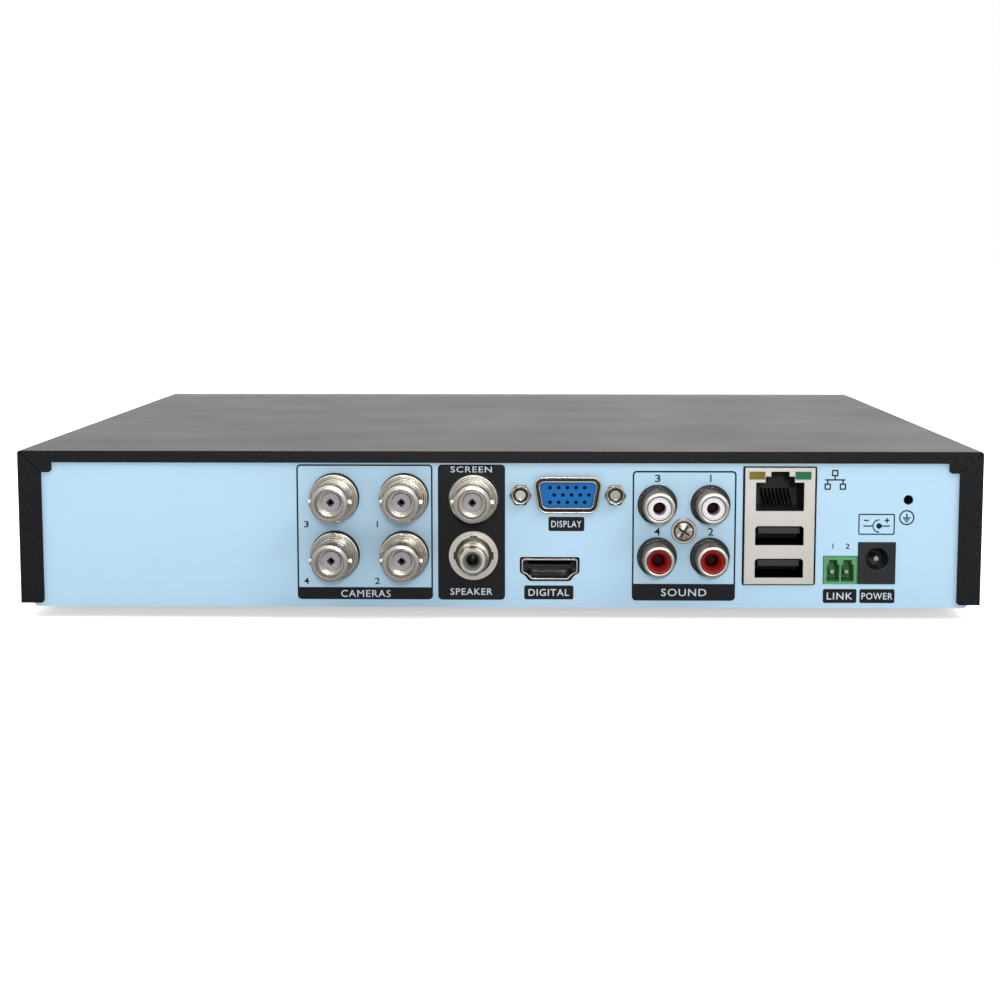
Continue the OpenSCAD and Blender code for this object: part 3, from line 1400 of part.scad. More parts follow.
bottom_chassis();
top_cover();
rear_label();
feet();
cover_screws();
front_bezel();
infrared_window();
light_pipes();
front_board();
status_leds();
infrared_receiver();
front_cable();
main_board();
board_standoffs();
board_screws();
processor();
heat_sink();
chips();
capacitors();
inductors();
coin_cell();
board_sockets();
bayonet_jack_shells();
jack_blocks();
jack_insulators();
jack_contacts();
sound_out_shell();
phono_block();
phono_barrels();
white_inserts();
red_inserts();
panel_screw();
display_socket_shell();
display_socket_insert();
display_jackscrews();
hd_socket_shell();
hd_socket_tongue();
jack_stack_shell();
network_insert();
network_contacts();
network_lights();
data_socket_tongues();
terminal_block();
terminal_pins();
power_jack_body();
power_jack_pin();
drive_base();
drive_lid();
drive_lid_screws();
platters();
spindle_hub();
actuator_arm();
coil_magnets();
drive_board();
drive_screws();
data_cable();
power_cable();
fan_frame();
fan_rotor();
fan_parts();
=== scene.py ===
import math

import bmesh
import bpy
from mathutils import Matrix, Vector


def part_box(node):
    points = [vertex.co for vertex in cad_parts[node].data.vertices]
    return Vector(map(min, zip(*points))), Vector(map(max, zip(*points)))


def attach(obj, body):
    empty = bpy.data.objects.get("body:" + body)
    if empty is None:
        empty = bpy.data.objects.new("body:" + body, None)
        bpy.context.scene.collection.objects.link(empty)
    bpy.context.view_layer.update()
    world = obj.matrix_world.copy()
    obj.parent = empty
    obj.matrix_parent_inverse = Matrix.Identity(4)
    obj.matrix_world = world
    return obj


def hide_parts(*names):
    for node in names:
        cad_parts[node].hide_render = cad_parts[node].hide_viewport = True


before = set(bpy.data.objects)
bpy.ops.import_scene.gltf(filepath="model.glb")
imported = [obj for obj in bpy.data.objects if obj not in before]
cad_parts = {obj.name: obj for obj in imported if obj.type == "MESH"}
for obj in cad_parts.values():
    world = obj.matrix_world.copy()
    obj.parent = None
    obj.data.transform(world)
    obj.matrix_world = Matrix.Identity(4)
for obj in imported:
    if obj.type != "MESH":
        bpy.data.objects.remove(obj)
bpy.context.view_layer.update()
mm = 0.001

# Places taken from the frame, in millimetres.
coverLow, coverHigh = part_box("top_cover")
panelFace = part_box("rear_label")[0].y / mm  # outer face of the printed film
flangeFace = coverLow.y / mm  # outer face of the cover's rear flanges
topEdge = coverHigh.z / mm  # drops are measured down from here


def middle(node):
    low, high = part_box(node)
    return (low + high) / (2 * mm)


def connected(start, seen):  # all points joined to one point by edges
    group, stack = [], [start]
    seen.add(start)
    while stack:
        v = stack.pop()
        group.append(v.co.copy())
        for e in v.link_edges:
            w = e.other_vert(v)
            if w not in seen:
                seen.add(w)
                stack.append(w)
    return group


def spotsOf(node):  # centres of a node's separate pieces, left to right and then upwards
    bm = bmesh.new()
    bm.from_mesh(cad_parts[node].data)
    bmesh.ops.remove_doubles(bm, verts=bm.verts, dist=1e-6)
    seen, spots = set(), []
    for start in bm.verts:
        if start in seen:
            continue
        group = connected(start, seen)
        low = Vector([min(c[i] for c in group) for i in range(3)])
        high = Vector([max(c[i] for c in group) for i in range(3)])
        spots.append((low + high) / (2 * mm))
    bm.free()
    return sorted(spots, key=lambda s: (round(s.x, 1), round(s.z, 1)))


view = {"lens": 69.27, "aside": 8.71, "back": 504.65, "up": 94.15, "look": (-0.0164, 0.992, -0.122)}


def addObject(name, data):
    thing = bpy.data.objects.new(name, data)
    bpy.context.scene.collection.objects.link(thing)
    return thing


def placeCamera():
    data = bpy.data.cameras.new("camera")
    data.lens = view["lens"]
    data.clip_start = 0.01
    camera = addObject("camera", data)
    camera.location = Vector((view["aside"], flangeFace - view["back"], view["up"])) * mm
    camera.rotation_euler = Vector(view["look"]).to_track_quat("-Z", "Y").to_euler()
    bpy.context.scene.camera = camera


placeCamera()
print("camera placed")


# Shader groups, each built once and used by several materials.
def newGroup(name, inputs, outputs, kind="ShaderNodeTree"):
    group = bpy.data.node_groups.new(name, kind)
    for label, holds, value in inputs:
        socket = group.interface.new_socket(label, in_out="INPUT", socket_type="NodeSocket" + holds)
        if value is not None:
            socket.default_value = value
    for label, holds in outputs:
        group.interface.new_socket(label, in_out="OUTPUT", socket_type="NodeSocket" + holds)
    return group, group.nodes.new("NodeGroupInput"), group.nodes.new("NodeGroupOutput")


def fillInputs(tree, node, inputs):
    for key, value in (inputs or {}).items():
        if isinstance(value, bpy.types.NodeSocket):
            tree.links.new(value, node.inputs[key])
        else:
            node.inputs[key].default_value = value
    return node


def addNode(tree, kind, settings=None, inputs=None):
    node = tree.nodes.new("ShaderNode" + kind)
    for key, value in (settings or {}).items():
        setattr(node, key, value)
    return fillInputs(tree, node, inputs)


def mathNode(tree, operation, a, b):
    return addNode(tree, "Math", {"operation": operation}, {0: a, 1: b}).outputs[0]


def blend(tree, factor, a, b):
    mix = addNode(tree, "Mix", {"data_type": "RGBA"}, {"Factor": factor, "A": a, "B": b})
    return mix.outputs["Result"]


def makeGrain():  # fine raised grain with rare flecks, as on powder coat and moulded plastic
    inputs = [("Vector", "Vector", None), ("Grain", "Float", 2500.0),
              ("Fleck size", "Float", 1400.0), ("Fleck share", "Float", 0.1)]
    g, start, end = newGroup("fineGrain", inputs, [("Height", "Float"), ("Fleck", "Float")])
    where = start.outputs["Vector"]
    fine = addNode(g, "TexNoise", {}, {"Vector": where, "Scale": start.outputs["Grain"],
                                       "Detail": 3.0, "Roughness": 0.6})
    cells = addNode(g, "TexVoronoi", {}, {"Vector": where, "Scale": start.outputs["Fleck size"]})
    pick = addNode(g, "SeparateColor", {}, {"Color": cells.outputs["Color"]})
    rare = mathNode(g, "LESS_THAN", pick.outputs["Red"], start.outputs["Fleck share"])
    near = mathNode(g, "LESS_THAN", cells.outputs["Distance"], 0.42)
    spark = mathNode(g, "MULTIPLY", rare, near)
    g.links.new(fine.outputs["Fac"], end.inputs["Height"])
    g.links.new(mathNode(g, "MULTIPLY", spark, pick.outputs["Green"]), end.inputs["Fleck"])
    return g


def makePatches():  # two colours and a roughness that wander over the surface
    inputs = [("Vector", "Vector", None), ("Size", "Float", 40.0), ("Colour", "Color", (0.5, 0.5, 0.5, 1)),
              ("Other colour", "Color", (0.4, 0.4, 0.4, 1)), ("Smooth", "Float", 0.4),
              ("Rough", "Float", 0.5)]
    g, start, end = newGroup("slowPatches", inputs, [("Colour", "Color"), ("Roughness", "Float")])
    slow = addNode(g, "TexNoise", {}, {"Vector": start.outputs["Vector"], "Scale": start.outputs["Size"],
                                       "Detail": 4.0, "Roughness": 0.55})
    even = addNode(g, "MapRange", {}, {"Value": slow.outputs["Fac"], "From Min": 0.32, "From Max": 0.68})
    share = even.outputs["Result"]
    rough = addNode(g, "MapRange", {}, {"Value": share, "To Min": start.outputs["Smooth"],
                                        "To Max": start.outputs["Rough"]})
    g.links.new(blend(g, share, start.outputs["Colour"], start.outputs["Other colour"]), end.inputs["Colour"])
    g.links.new(rough.outputs["Result"], end.inputs["Roughness"])
    return g


def makeTurning():  # rings left by a lathe tool, along the profile's length in the UV map
    g, start, end = newGroup("latheRings", [("UV", "Vector", None), ("Fineness", "Float", 5.0)],
                             [("Height", "Float"), ("Tone", "Float")])
    along = addNode(g, "Mapping", {}, {"Vector": start.outputs["UV"], "Scale": (0.1, 1.0, 1.0)}).outputs[0]
    rings = addNode(g, "TexNoise", {}, {"Vector": along, "Scale": start.outputs["Fineness"],
                                        "Detail": 2.0, "Roughness": 0.6})
    wide = addNode(g, "TexNoise", {}, {"Vector": along, "Scale": 0.9, "Detail": 2.0})
    tone = mathNode(g, "MULTIPLY", rings.outputs["Fac"], wide.outputs["Fac"])
    g.links.new(rings.outputs["Fac"], end.inputs["Height"])
    g.links.new(mathNode(g, "MULTIPLY", tone, 3.4), end.inputs["Tone"])
    return g


grainGroup, patchGroup, turnGroup = makeGrain(), makePatches(), makeTurning()
print("shader groups built")


def startMaterial(name):
    material = bpy.data.materials.new(name)
    material.use_nodes = True
    tree = material.node_tree
    tree.nodes.clear()
    out = tree.nodes.new("ShaderNodeOutputMaterial")
    surface = tree.nodes.new("ShaderNodeBsdfPrincipled")
    tree.links.new(surface.outputs["BSDF"], out.inputs["Surface"])
    return material, tree, surface, tree.nodes.new("ShaderNodeTexCoord")


def useGroup(tree, group, inputs):
    node = tree.nodes.new("ShaderNodeGroup")
    node.node_tree = group
    return fillInputs(tree, node, inputs)


def patches(tree, place, size, look, spread):
    return useGroup(tree, patchGroup, {
        "Vector": place.outputs["Object"], "Size": size, "Colour": tuple(look["colour"]) + (1,),
        "Other colour": tuple(look["other"]) + (1,), "Smooth": look["rough"] - spread,
        "Rough": look["rough"] + spread})


def coverWith(tree, surface, colour, tone):
    tree.links.new(colour, surface.inputs["Base Color"])
    tree.links.new(tone.outputs["Roughness"], surface.inputs["Roughness"])


def bumpInto(tree, surface, height, strength, distance):
    bump = addNode(tree, "Bump", {}, {"Height": height, "Strength": strength, "Distance": distance})
    tree.links.new(bump.outputs["Normal"], surface.inputs["Normal"])


def powderCoat(name, look):
    material, tree, surface, place = startMaterial(name)
    grain = useGroup(tree, grainGroup, {"Vector": place.outputs["Object"], "Grain": look["grain"],
                                        "Fleck size": look["fleckSize"], "Fleck share": look["fleckShare"]})
    tone = patches(tree, place, 28.0, look, 0.03)
    colour = blend(tree, grain.outputs["Fleck"], tone.outputs["Colour"], look["fleck"] + (1,))
    coverWith(tree, surface, colour, tone)
    surface.inputs["Specular IOR Level"].default_value = look["gloss"]
    bumpInto(tree, surface, grain.outputs["Height"], look["bump"], 0.0002)
    return material


def moulded(name, colour, rough=0.42, gloss=0.4, bump=0.08, spread=0.1, grain=5200.0):
    material, tree, surface, place = startMaterial(name)
    other = tuple(min(1.0, c * (1 - spread) + 0.002) for c in colour)
    fine = useGroup(tree, grainGroup, {"Vector": place.outputs["Object"], "Grain": grain,
                                       "Fleck size": 2600.0, "Fleck share": 0.0})
    tone = patches(tree, place, 160.0, {"colour": colour, "other": other, "rough": rough}, 0.05)
    coverWith(tree, surface, tone.outputs["Colour"], tone)
    surface.inputs["Specular IOR Level"].default_value = gloss
    bumpInto(tree, surface, fine.outputs["Height"], bump, 0.0001)
    return material


def paintedShadeInReflections(material, tone):  # painted reflection: a darker tone in glossy rays, so shiny pieces reflect the surface as painted shade, which keeps their contrast
    tree = material.node_tree
    surface = next(n for n in tree.nodes if n.type == "BSDF_PRINCIPLED")
    base = surface.inputs["Base Color"]
    plain = base.links[0].from_socket if base.links else tuple(base.default_value)
    path = tree.nodes.new("ShaderNodeLightPath")
    tree.links.new(blend(tree, path.outputs["Is Glossy Ray"], plain, tuple(tone) + (1,)), base)
    return material


def turnedMetal(name, look):
    material, tree, surface, place = startMaterial(name)
    rings = useGroup(tree, turnGroup, {"UV": place.outputs["UV"], "Fineness": look["fineness"]})
    tone = patches(tree, place, 260.0, look, 0.05)
    colour = blend(tree, rings.outputs["Tone"], look["dark"] + (1,), tone.outputs["Colour"])
    coverWith(tree, surface, colour, tone)
    surface.inputs["Metallic"].default_value = 1.0
    bumpInto(tree, surface, rings.outputs["Height"], look["bump"], 0.0002)
    return material


def sheetMetal(name, look):
    material, tree, surface, place = startMaterial(name)
    stretched = addNode(tree, "Mapping", {}, {"Vector": place.outputs["Object"], "Scale": look["stretch"]})
    grain = useGroup(tree, grainGroup, {"Vector": stretched.outputs[0], "Grain": look["grain"],
                                        "Fleck size": 1500.0, "Fleck share": 0.03})
    tone = patches(tree, place, 90.0, look, 0.06)
    colour = blend(tree, grain.outputs["Fleck"], tone.outputs["Colour"], look["other"] + (1,))
    coverWith(tree, surface, colour, tone)
    surface.inputs["Metallic"].default_value = look.get("metal", 1.0)
    bumpInto(tree, surface, grain.outputs["Height"], look["bump"], 0.0001)
    return material


def tinted(name, colour, clear):  # tinted resin, part clear
    material, tree, surface, place = startMaterial(name)
    other = tuple(c * 0.8 for c in colour)
    tone = patches(tree, place, 300.0, {"colour": colour, "other": other, "rough": 0.16}, 0.05)
    coverWith(tree, surface, tone.outputs["Colour"], tone)
    surface.inputs["Transmission Weight"].default_value = clear
    surface.inputs["IOR"].default_value = 1.5
    return material


coat = {"colour": (0.0022, 0.0026, 0.0036), "other": (0.0032, 0.0036, 0.0048), "fleck": (0.055, 0.058, 0.065),
        "rough": 0.45, "grain": 2300.0, "fleckSize": 5200.0, "fleckShare": 0.07, "bump": 0.34, "gloss": 0.19}
nickel = {"colour": (0.84, 0.80, 0.73), "other": (0.74, 0.70, 0.62), "dark": (0.33, 0.30, 0.25),
          "rough": 0.19, "fineness": 7.0, "bump": 0.16}
plated = {"colour": (0.74, 0.70, 0.62), "other": (0.64, 0.60, 0.53), "rough": 0.3, "grain": 2400.0,
          "stretch": (1.0, 1.0, 1.0), "bump": 0.12}
galvanised = {"colour": (0.62, 0.63, 0.64), "other": (0.48, 0.49, 0.51), "rough": 0.42, "grain": 700.0,
              "stretch": (1.0, 1.0, 1.0), "bump": 0.1}
brushed = {"colour": (0.66, 0.67, 0.69), "other": (0.56, 0.57, 0.59), "rough": 0.34, "grain": 1500.0,
           "stretch": (0.06, 1.0, 1.0), "bump": 0.2}

finishes = {
    "coverCoat": (powderCoat, coat),
    "screwCoat": (powderCoat, dict(coat, fleckShare=0.0, rough=0.38, bump=0.1)),
    "panelPaint": (moulded, (0.350, 0.512, 0.640), 0.5, 0.25, 0.06, 0.02, 3200.0),
    "darkInk": (moulded, (0.0055, 0.0060, 0.0075), 0.5, 0.16, 0.05),
    "whiteInk": (moulded, (0.50, 0.56, 0.64), 0.5, 0.2, 0.05, 0.03),
    "nickel": (turnedMetal, nickel),
    "dullNickel": (turnedMetal, dict(nickel, colour=(0.66, 0.63, 0.57), rough=0.3)),
    "stackSatin": (sheetMetal, dict(plated, colour=(0.56, 0.54, 0.505), other=(0.49, 0.47, 0.435),
                                    rough=0.4, bump=0.3, metal=0.6)),
    "satinNickel": (sheetMetal, dict(plated, colour=(0.80, 0.77, 0.70), rough=0.26, bump=0.05)),
    "hardware": (sheetMetal, dict(plated, rough=0.22, bump=0.05)),
    "drawnShell": (sheetMetal, dict(plated, colour=(0.60, 0.57, 0.50), rough=0.24, bump=0.05)),
    "galvanised": (sheetMetal, galvanised),
    "brushed": (sheetMetal, brushed),
    "castAlloy": (sheetMetal, dict(galvanised, colour=(0.50, 0.51, 0.53), rough=0.5, bump=0.35)),
    "mirror": (sheetMetal, dict(brushed, colour=(0.88, 0.89, 0.91), other=(0.84, 0.85, 0.87),
                                rough=0.12, bump=0.02)),
    "gold": (sheetMetal, dict(plated, colour=(0.85, 0.62, 0.25), other=(0.74, 0.52, 0.2))),
    # painted shade: a near-black metal laid where shade falls, in grooves, hollows, recesses and on contacts
    # deep in shadow
    "paintedShadeMetal": (sheetMetal, dict(plated, colour=(0.085, 0.075, 0.062), other=(0.05, 0.045, 0.038))),
    "lilac": (moulded, (0.34, 0.325, 0.365), 0.4),
    "greyCore": (moulded, (0.12, 0.12, 0.125), 0.4),
    "whiteCore": (moulded, (0.60, 0.59, 0.62), 0.36),
    "redCore": (moulded, (0.27, 0.008, 0.008), 0.34),
    "paintedRedHoleShade": (moulded, (0.03, 0.001, 0.002), 0.5, 0.1),
    "socketBlue": (moulded, (0.003, 0.105, 0.32), 0.45, 0.12),
    # painted shade: a black laid in holes and openings where only shade shows
    "paintedHoleShade": (moulded, (0.002, 0.002, 0.003), 0.6, 0.05),
    "blackPlastic": (moulded, (0.006, 0.006, 0.007), 0.36, 0.3),
    "jackBlack": (moulded, (0.009, 0.010, 0.012), 0.3, 0.4),
    "greyPlastic": (moulded, (0.022, 0.022, 0.025), 0.4),
    "terminalGreen": (moulded, (0.065, 0.26, 0.095), 0.34),
    "bezelPlastic": (moulded, (0.008, 0.008, 0.009), 0.45, 0.3, 0.4, 0.1, 2600.0),
    "chipPlastic": (moulded, (0.02, 0.02, 0.022), 0.55),
    "boardGreen": (moulded, (0.015, 0.13, 0.07), 0.3),
    "nylon": (moulded, (0.78, 0.76, 0.68), 0.45),
    "sleeve": (moulded, (0.02, 0.05, 0.16), 0.3),
    "ferrite": (moulded, (0.05, 0.05, 0.055), 0.6),
    "rubber": (moulded, (0.018, 0.018, 0.019), 0.75, 0.3, 0.3),
    "redVinyl": (moulded, (0.45, 0.02, 0.015), 0.35),
    "yellowVinyl": (moulded, (0.62, 0.42, 0.03), 0.35),
    "greyVinyl": (moulded, (0.42, 0.42, 0.44), 0.4),
    "anodised": (sheetMetal, dict(brushed, colour=(0.06, 0.06, 0.065), other=(0.04, 0.04, 0.045))),
    "oliveLight": (tinted, (0.17, 0.14, 0.012), 0.1),
    "greenLight": (tinted, (0.004, 0.135, 0.045), 0.1),
    "windowTint": (tinted, (0.10, 0.008, 0.012), 0.4),
    "clearResin": (tinted, (0.86, 0.90, 0.88), 0.7),
}
finish = {name: make(name, *look) for name, (make, *look) in finishes.items()}
# painted shade: the blue panel is reflected darker in the metal than it is
paintedShadeInReflections(finish["panelPaint"], (0.17, 0.185, 0.20))
print("materials made:", len(finish))


def drawnObject(name, bm):  # everything is drawn in millimetres
    bmesh.ops.recalc_face_normals(bm, faces=bm.faces)
    bmesh.ops.scale(bm, vec=(mm, mm, mm), verts=bm.verts)
    mesh = bpy.data.meshes.new(name)
    bm.to_mesh(mesh)
    bm.free()
    return addObject(name, mesh)


def giveFinishes(piece, labels):
    piece.data.materials.clear()
    for label in labels:
        piece.data.materials.append(finish[label])


def finishPiece(name, bm, material, replaced=(), smooth=32.0, others=()):
    piece = drawnObject(name, bm)
    giveFinishes(piece, (material,) + tuple(others))
    return settle(piece, replaced, smooth)


def settle(piece, replaced, smooth=None):  # rides on the case and hides the CAD nodes it replaces
    if smooth:
        piece.data.polygons.foreach_set("use_smooth", [True] * len(piece.data.polygons))
        piece.data.set_sharp_from_angle(angle=math.radians(smooth))
    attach(piece, "case")
    if replaced:
        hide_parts(*replaced)
    return piece


def turnedRow(bm, r, y, x, z, steps):  # one ring of a turned shape, or its pole
    if r < 1e-4:
        return [bm.verts.new((x, y, z))]
    angles = [2 * math.pi * k / steps for k in range(steps)]
    return [bm.verts.new((x + r * math.cos(a), y, z + r * math.sin(a))) for a in angles]


def latheInto(bm, profile, x, z, steps=64, face=None):  # profile of (radius, distance out of the panel)
    face = panelFace if face is None else face
    uv = bm.loops.layers.uv.verify()
    rows, length, last = [], 0.0, profile[0]
    for r, out in profile:
        length += math.hypot(r - last[0], out - last[1])
        last = (r, out)
        rows.append((length, turnedRow(bm, r, face - out, x, z, steps)))
    for (la, a), (lb, b) in zip(rows, rows[1:]):
        for k in range(steps):
            j = (k + 1) % steps
            corners = [(a[k % len(a)], la, k), (a[j % len(a)], la, k + 1),
                       (b[j % len(b)], lb, k + 1), (b[k % len(b)], lb, k)]
            loop = [c for i, c in enumerate(corners) if c[0] not in [d[0] for d in corners[:i]]]
            if len(loop) > 2:
                made = bm.faces.new([c[0] for c in loop])
                for corner, (v, l, t) in zip(made.loops, loop):
                    corner[uv].uv = (t / steps, l)


def boxInto(bm, low, high):
    size = [high[i] - low[i] for i in range(3)]
    place = Matrix.Translation([(low[i] + high[i]) / 2 for i in range(3)]) @ Matrix.Diagonal(size + [1.0])
    bmesh.ops.create_cube(bm, size=1.0, matrix=place)


def around(x, z, r, angles):  # points on a circle that faces out of the panel
    return [(x + r * math.cos(a), z + r * math.sin(a)) for a in angles]


def roundBox(x0, x1, z0, z1, r, square=()):  # corners named in square stay sharp
    corners = [("topRight", x1, z1, 0), ("topLeft", x0, z1, 90),
               ("lowLeft", x0, z0, 180), ("lowRight", x1, z0, 270)]
    points = []
    for label, cx, cz, turn in corners:
        if label in square:
            points.append((cx, cz))
            continue
        sx, sz = (1 if cx == x1 else -1), (1 if cz == z1 else -1)
        points += around(cx - sx * r, cz - sz * r, r, [math.radians(turn + 18 * k) for k in range(6)])
    return points


def slabInto(bm, outline, y0, y1, hole=None):  # a flat plate; a hole has as many points as the outline
    def ringAt(points, y):
        return [bm.verts.new((p[0], y, p[1])) for p in points]
    front, back = ringAt(outline, y0), ringAt(outline, y1)
    n = len(outline)
    for k in range(n):
        bm.faces.new((front[k], front[(k + 1) % n], back[(k + 1) % n], back[k]))
    if hole is None:
        bm.faces.new(front)
        bm.faces.new(back[::-1])
        return
    inFront, inBack = ringAt(hole, y0), ringAt(hole, y1)
    for k in range(n):
        j = (k + 1) % n
        bm.faces.new((inFront[k], inBack[k], inBack[j], inFront[j]))
        bm.faces.new((front[k], inFront[k], inFront[j], front[j]))
        bm.faces.new((back[k], back[j], inBack[j], inBack[k]))


def bakedCopy(source, name):  # the evaluated mesh as a new plain piece; the source goes
    bpy.context.view_layer.update()
    graph = bpy.context.evaluated_depsgraph_get()
    mesh = bpy.data.meshes.new_from_object(source.evaluated_get(graph), preserve_all_data_layers=True,
                                           depsgraph=graph)
    mesh.name = name
    piece = addObject(name, mesh)
    bpy.data.objects.remove(source)
    return piece


def softened(node, material, width, segments=2, angle=28.0, others=()):  # a CAD node with rounded edges
    bm = bmesh.new()
    bm.from_mesh(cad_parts[node].data)
    bmesh.ops.remove_doubles(bm, verts=bm.verts, dist=1e-6)
    bmesh.ops.dissolve_limit(bm, angle_limit=math.radians(0.6), verts=bm.verts, edges=bm.edges)
    mesh = bpy.data.meshes.new(node + "Copy")
    bm.to_mesh(mesh)
    bm.free()
    mesh.polygons.foreach_set("use_smooth", [True] * len(mesh.polygons))
    rough = addObject(node + "Copy", mesh)
    edge = rough.modifiers.new("edge", "BEVEL")
    edge.width = width * mm
    edge.segments = segments
    edge.limit_method = "ANGLE"
    edge.angle_limit = math.radians(angle)
    edge.loop_slide = False
    flat = rough.modifiers.new("flat", "WEIGHTED_NORMAL")
    flat.weight = 80
    result = bakedCopy(rough, node + "_finished")
    giveFinishes(result, (material,) + tuple(others))
    return settle(result, (node,))


def paintWhere(piece, index, test):  # gives the faces whose centre, in millimetres, passes the test a finish
    for face in piece.data.polygons:
        if test(face.center / mm):
            face.material_index = index


def offAxis(p, x, z):
    return math.hypot(p.x - x, p.z - z)


# The scatter tree sets the object named in Piece on every point of a mesh and paints it.
def makeScatterTree():
    inputs = [("Geometry", "Geometry", None), ("Piece", "Object", None), ("Finish", "Material", None),
              ("Random turn", "Float", 0.0), ("Seed", "Int", 7)]
    tree, start, end = newGroup("setOnPoints", inputs, [("Geometry", "Geometry")], "GeometryNodeTree")
    kinds = ("GeometryNodeObjectInfo", "GeometryNodeInstanceOnPoints", "FunctionNodeRandomValue",
             "ShaderNodeCombineXYZ", "GeometryNodeRealizeInstances", "GeometryNodeSetMaterial")
    info, place, spin, axis, whole, coatNode = [tree.nodes.new(kind) for kind in kinds]
    links = [(start.outputs["Geometry"], place.inputs["Points"]),
             (start.outputs["Piece"], info.inputs["Object"]),
             (info.outputs["Geometry"], place.inputs["Instance"]),
             (start.outputs["Random turn"], spin.inputs["Max"]), (start.outputs["Seed"], spin.inputs["Seed"]),
             (spin.outputs["Value"], axis.inputs["Y"]), (axis.outputs[0], place.inputs["Rotation"]),
             (place.outputs["Instances"], whole.inputs["Geometry"]),
             (whole.outputs["Geometry"], coatNode.inputs["Geometry"]),
             (start.outputs["Finish"], coatNode.inputs["Material"]),
             (coatNode.outputs["Geometry"], end.inputs["Geometry"])]
    for a, b in links:
        tree.links.new(a, b)
    return tree


scatterTree = makeScatterTree()


def setAtPoints(name, source, points, material, turn=0.0, seed=7):
    cloud = bpy.data.meshes.new(name + "Points")
    cloud.from_pydata([Vector(p) * mm for p in points], [], [])
    holder = addObject(name + "Points", cloud)
    run = holder.modifiers.new("scatter", "NODES")
    run.node_group = scatterTree
    keys = {i.name: i.identifier for i in scatterTree.interface.items_tree if i.in_out == "INPUT"}
    run[keys["Piece"]] = source
    run[keys["Finish"]] = finish[material]
    run[keys["Random turn"]] = turn
    run[keys["Seed"]] = seed
    piece = bakedCopy(holder, name)
    bpy.data.objects.remove(source)
    return piece


# Print on the panel: places are (x, drop below the top edge), in millimetres.
printing = {
    "lift": 0.035, "line": 0.42, "corner": 1.1,
    "cameras": {"left": -53.6, "right": -17.5, "top": 3.6, "low": 39.75, "bar": 36.5},
    "outputs": {"left": -16.1, "right": 1.7, "top": 3.6, "low": 39.8},
    "sound": {"left": 35.4, "right": 62.8, "top": 5.2, "low": 39.9, "bar": 35.4},
    "tags": [(13.2, 22.7, 17.5, 21.3), (6.8, 19.9, 35.9, 39.65),
             (86.1, 95.0, 36.65, 40.4), (95.8, 105.1, 36.65, 40.4)],
    "jackHole": 6.62,
    # word, x, drop, height of the capitals, width (0 keeps the letters' own)
    "whiteWords": [("CAMERAS", -35.4, 38.2, 1.9, 13.2), ("SCREEN", -7.25, 4.9, 1.6, 10.9),
                   ("SPEAKER", -7.25, 37.6, 1.8, 11.2), ("DISPLAY", 17.95, 19.4, 1.75, 8.0),
                   ("DIGITAL", 13.35, 37.8, 1.85, 10.8), ("SOUND", 49.2, 37.7, 2.0, 12.0),
                   ("LINK", 90.55, 38.55, 1.85, 6.8), ("POWER", 100.45, 38.55, 1.8, 8.2)],
    "darkWords": [("3", -51.1, 19.6, 1.75, 1.3), ("1", -32.2, 19.6, 1.75, 0), ("4", -51.2, 34.85, 1.75, 1.4),
                  ("2", -32.3, 34.8, 1.75, 1.3), ("3", 42.0, 7.2, 2.0, 1.5), ("1", 56.0, 7.2, 2.0, 0),
                  ("4", 42.0, 21.4, 2.0, 1.6), ("2", 56.15, 21.4, 2.0, 1.5),
                  ("1", 88.5, 25.15, 1.4, 0), ("2", 92.4, 25.15, 1.4, 1.05)],
}


def wordInto(bm, word, x, drop, height, width, weight, depth):
    curve = bpy.data.curves.new("word", "FONT")
    curve.body = word
    curve.size = 1.0
    curve.offset = weight
    curve.space_character = 1.12
    curve.resolution_u = 3
    curve.extrude = 0.5
    plain = bakedCopy(addObject("word", curve), "wordMesh")
    mesh = plain.data
    xs, ys = [v.co.x for v in mesh.vertices], [v.co.y for v in mesh.vertices]
    tall = height / (max(ys) - min(ys))
    wide = width / (max(xs) - min(xs)) if width else tall
    midX, midY = (max(xs) + min(xs)) / 2, (max(ys) + min(ys)) / 2
    for v in mesh.vertices:
        v.co = Vector((x + (v.co.x - midX) * wide, panelFace - (v.co.z + 0.5) * depth + 0.004,
                       topEdge - drop + (v.co.y - midY) * tall))
    bm.from_mesh(mesh)
    bpy.data.objects.remove(plain)


def inkInto(bm, outline, hole=None, lift=None):
    lift = printing["lift"] if lift is None else lift
    slabInto(bm, outline, panelFace - lift, panelFace + 0.004, hole)


def strokeInto(bm, a, b, width):  # a straight printed stroke between two points of (x, drop)
    along = Vector((b[0] - a[0], b[1] - a[1])).normalized()
    side = Vector((-along.y, along.x)) * width / 2
    corners = [Vector(a) + side, Vector(b) + side, Vector(b) - side, Vector(a) - side]
    inkInto(bm, [(c.x, topEdge - c.y) for c in corners])


def arcInto(bm, x, drop, r, width, start=0.0, stop=360.0, steps=36):  # a printed ring, or part of one
    whole = abs(stop - start) >= 360
    count = steps if whole else steps + 1
    angles = [math.radians(start + (stop - start) * k / steps) for k in range(count)]
    z = topEdge - drop
    outer, inner = around(x, z, r + width / 2, angles), around(x, z, r - width / 2, angles)
    if whole:
        inkInto(bm, outer, inner)
    else:
        for k in range(count - 1):
            inkInto(bm, [outer[k], outer[k + 1], inner[k + 1], inner[k]])


def frameInto(bm, box, corner, line):
    low, high = topEdge - box["low"], topEdge - box["top"]
    outer = roundBox(box["left"], box["right"], low, high, corner)
    inner = roundBox(box["left"] + line, box["right"] - line, low + line, high - line, corner - line)
    inkInto(bm, outer, inner)


def denseBox(x0, x1, z0, z1, r, square):  # a rounded box with points close enough to join to a circle
    coarse = roundBox(x0, x1, z0, z1, r, square)
    points = []
    for a, b in zip(coarse, coarse[1:] + coarse[:1]):
        n = max(1, int(math.dist(a, b) / 0.6))
        points += [(a[0] + (b[0] - a[0]) * k / n, a[1] + (b[1] - a[1]) * k / n) for k in range(n)]
    return points


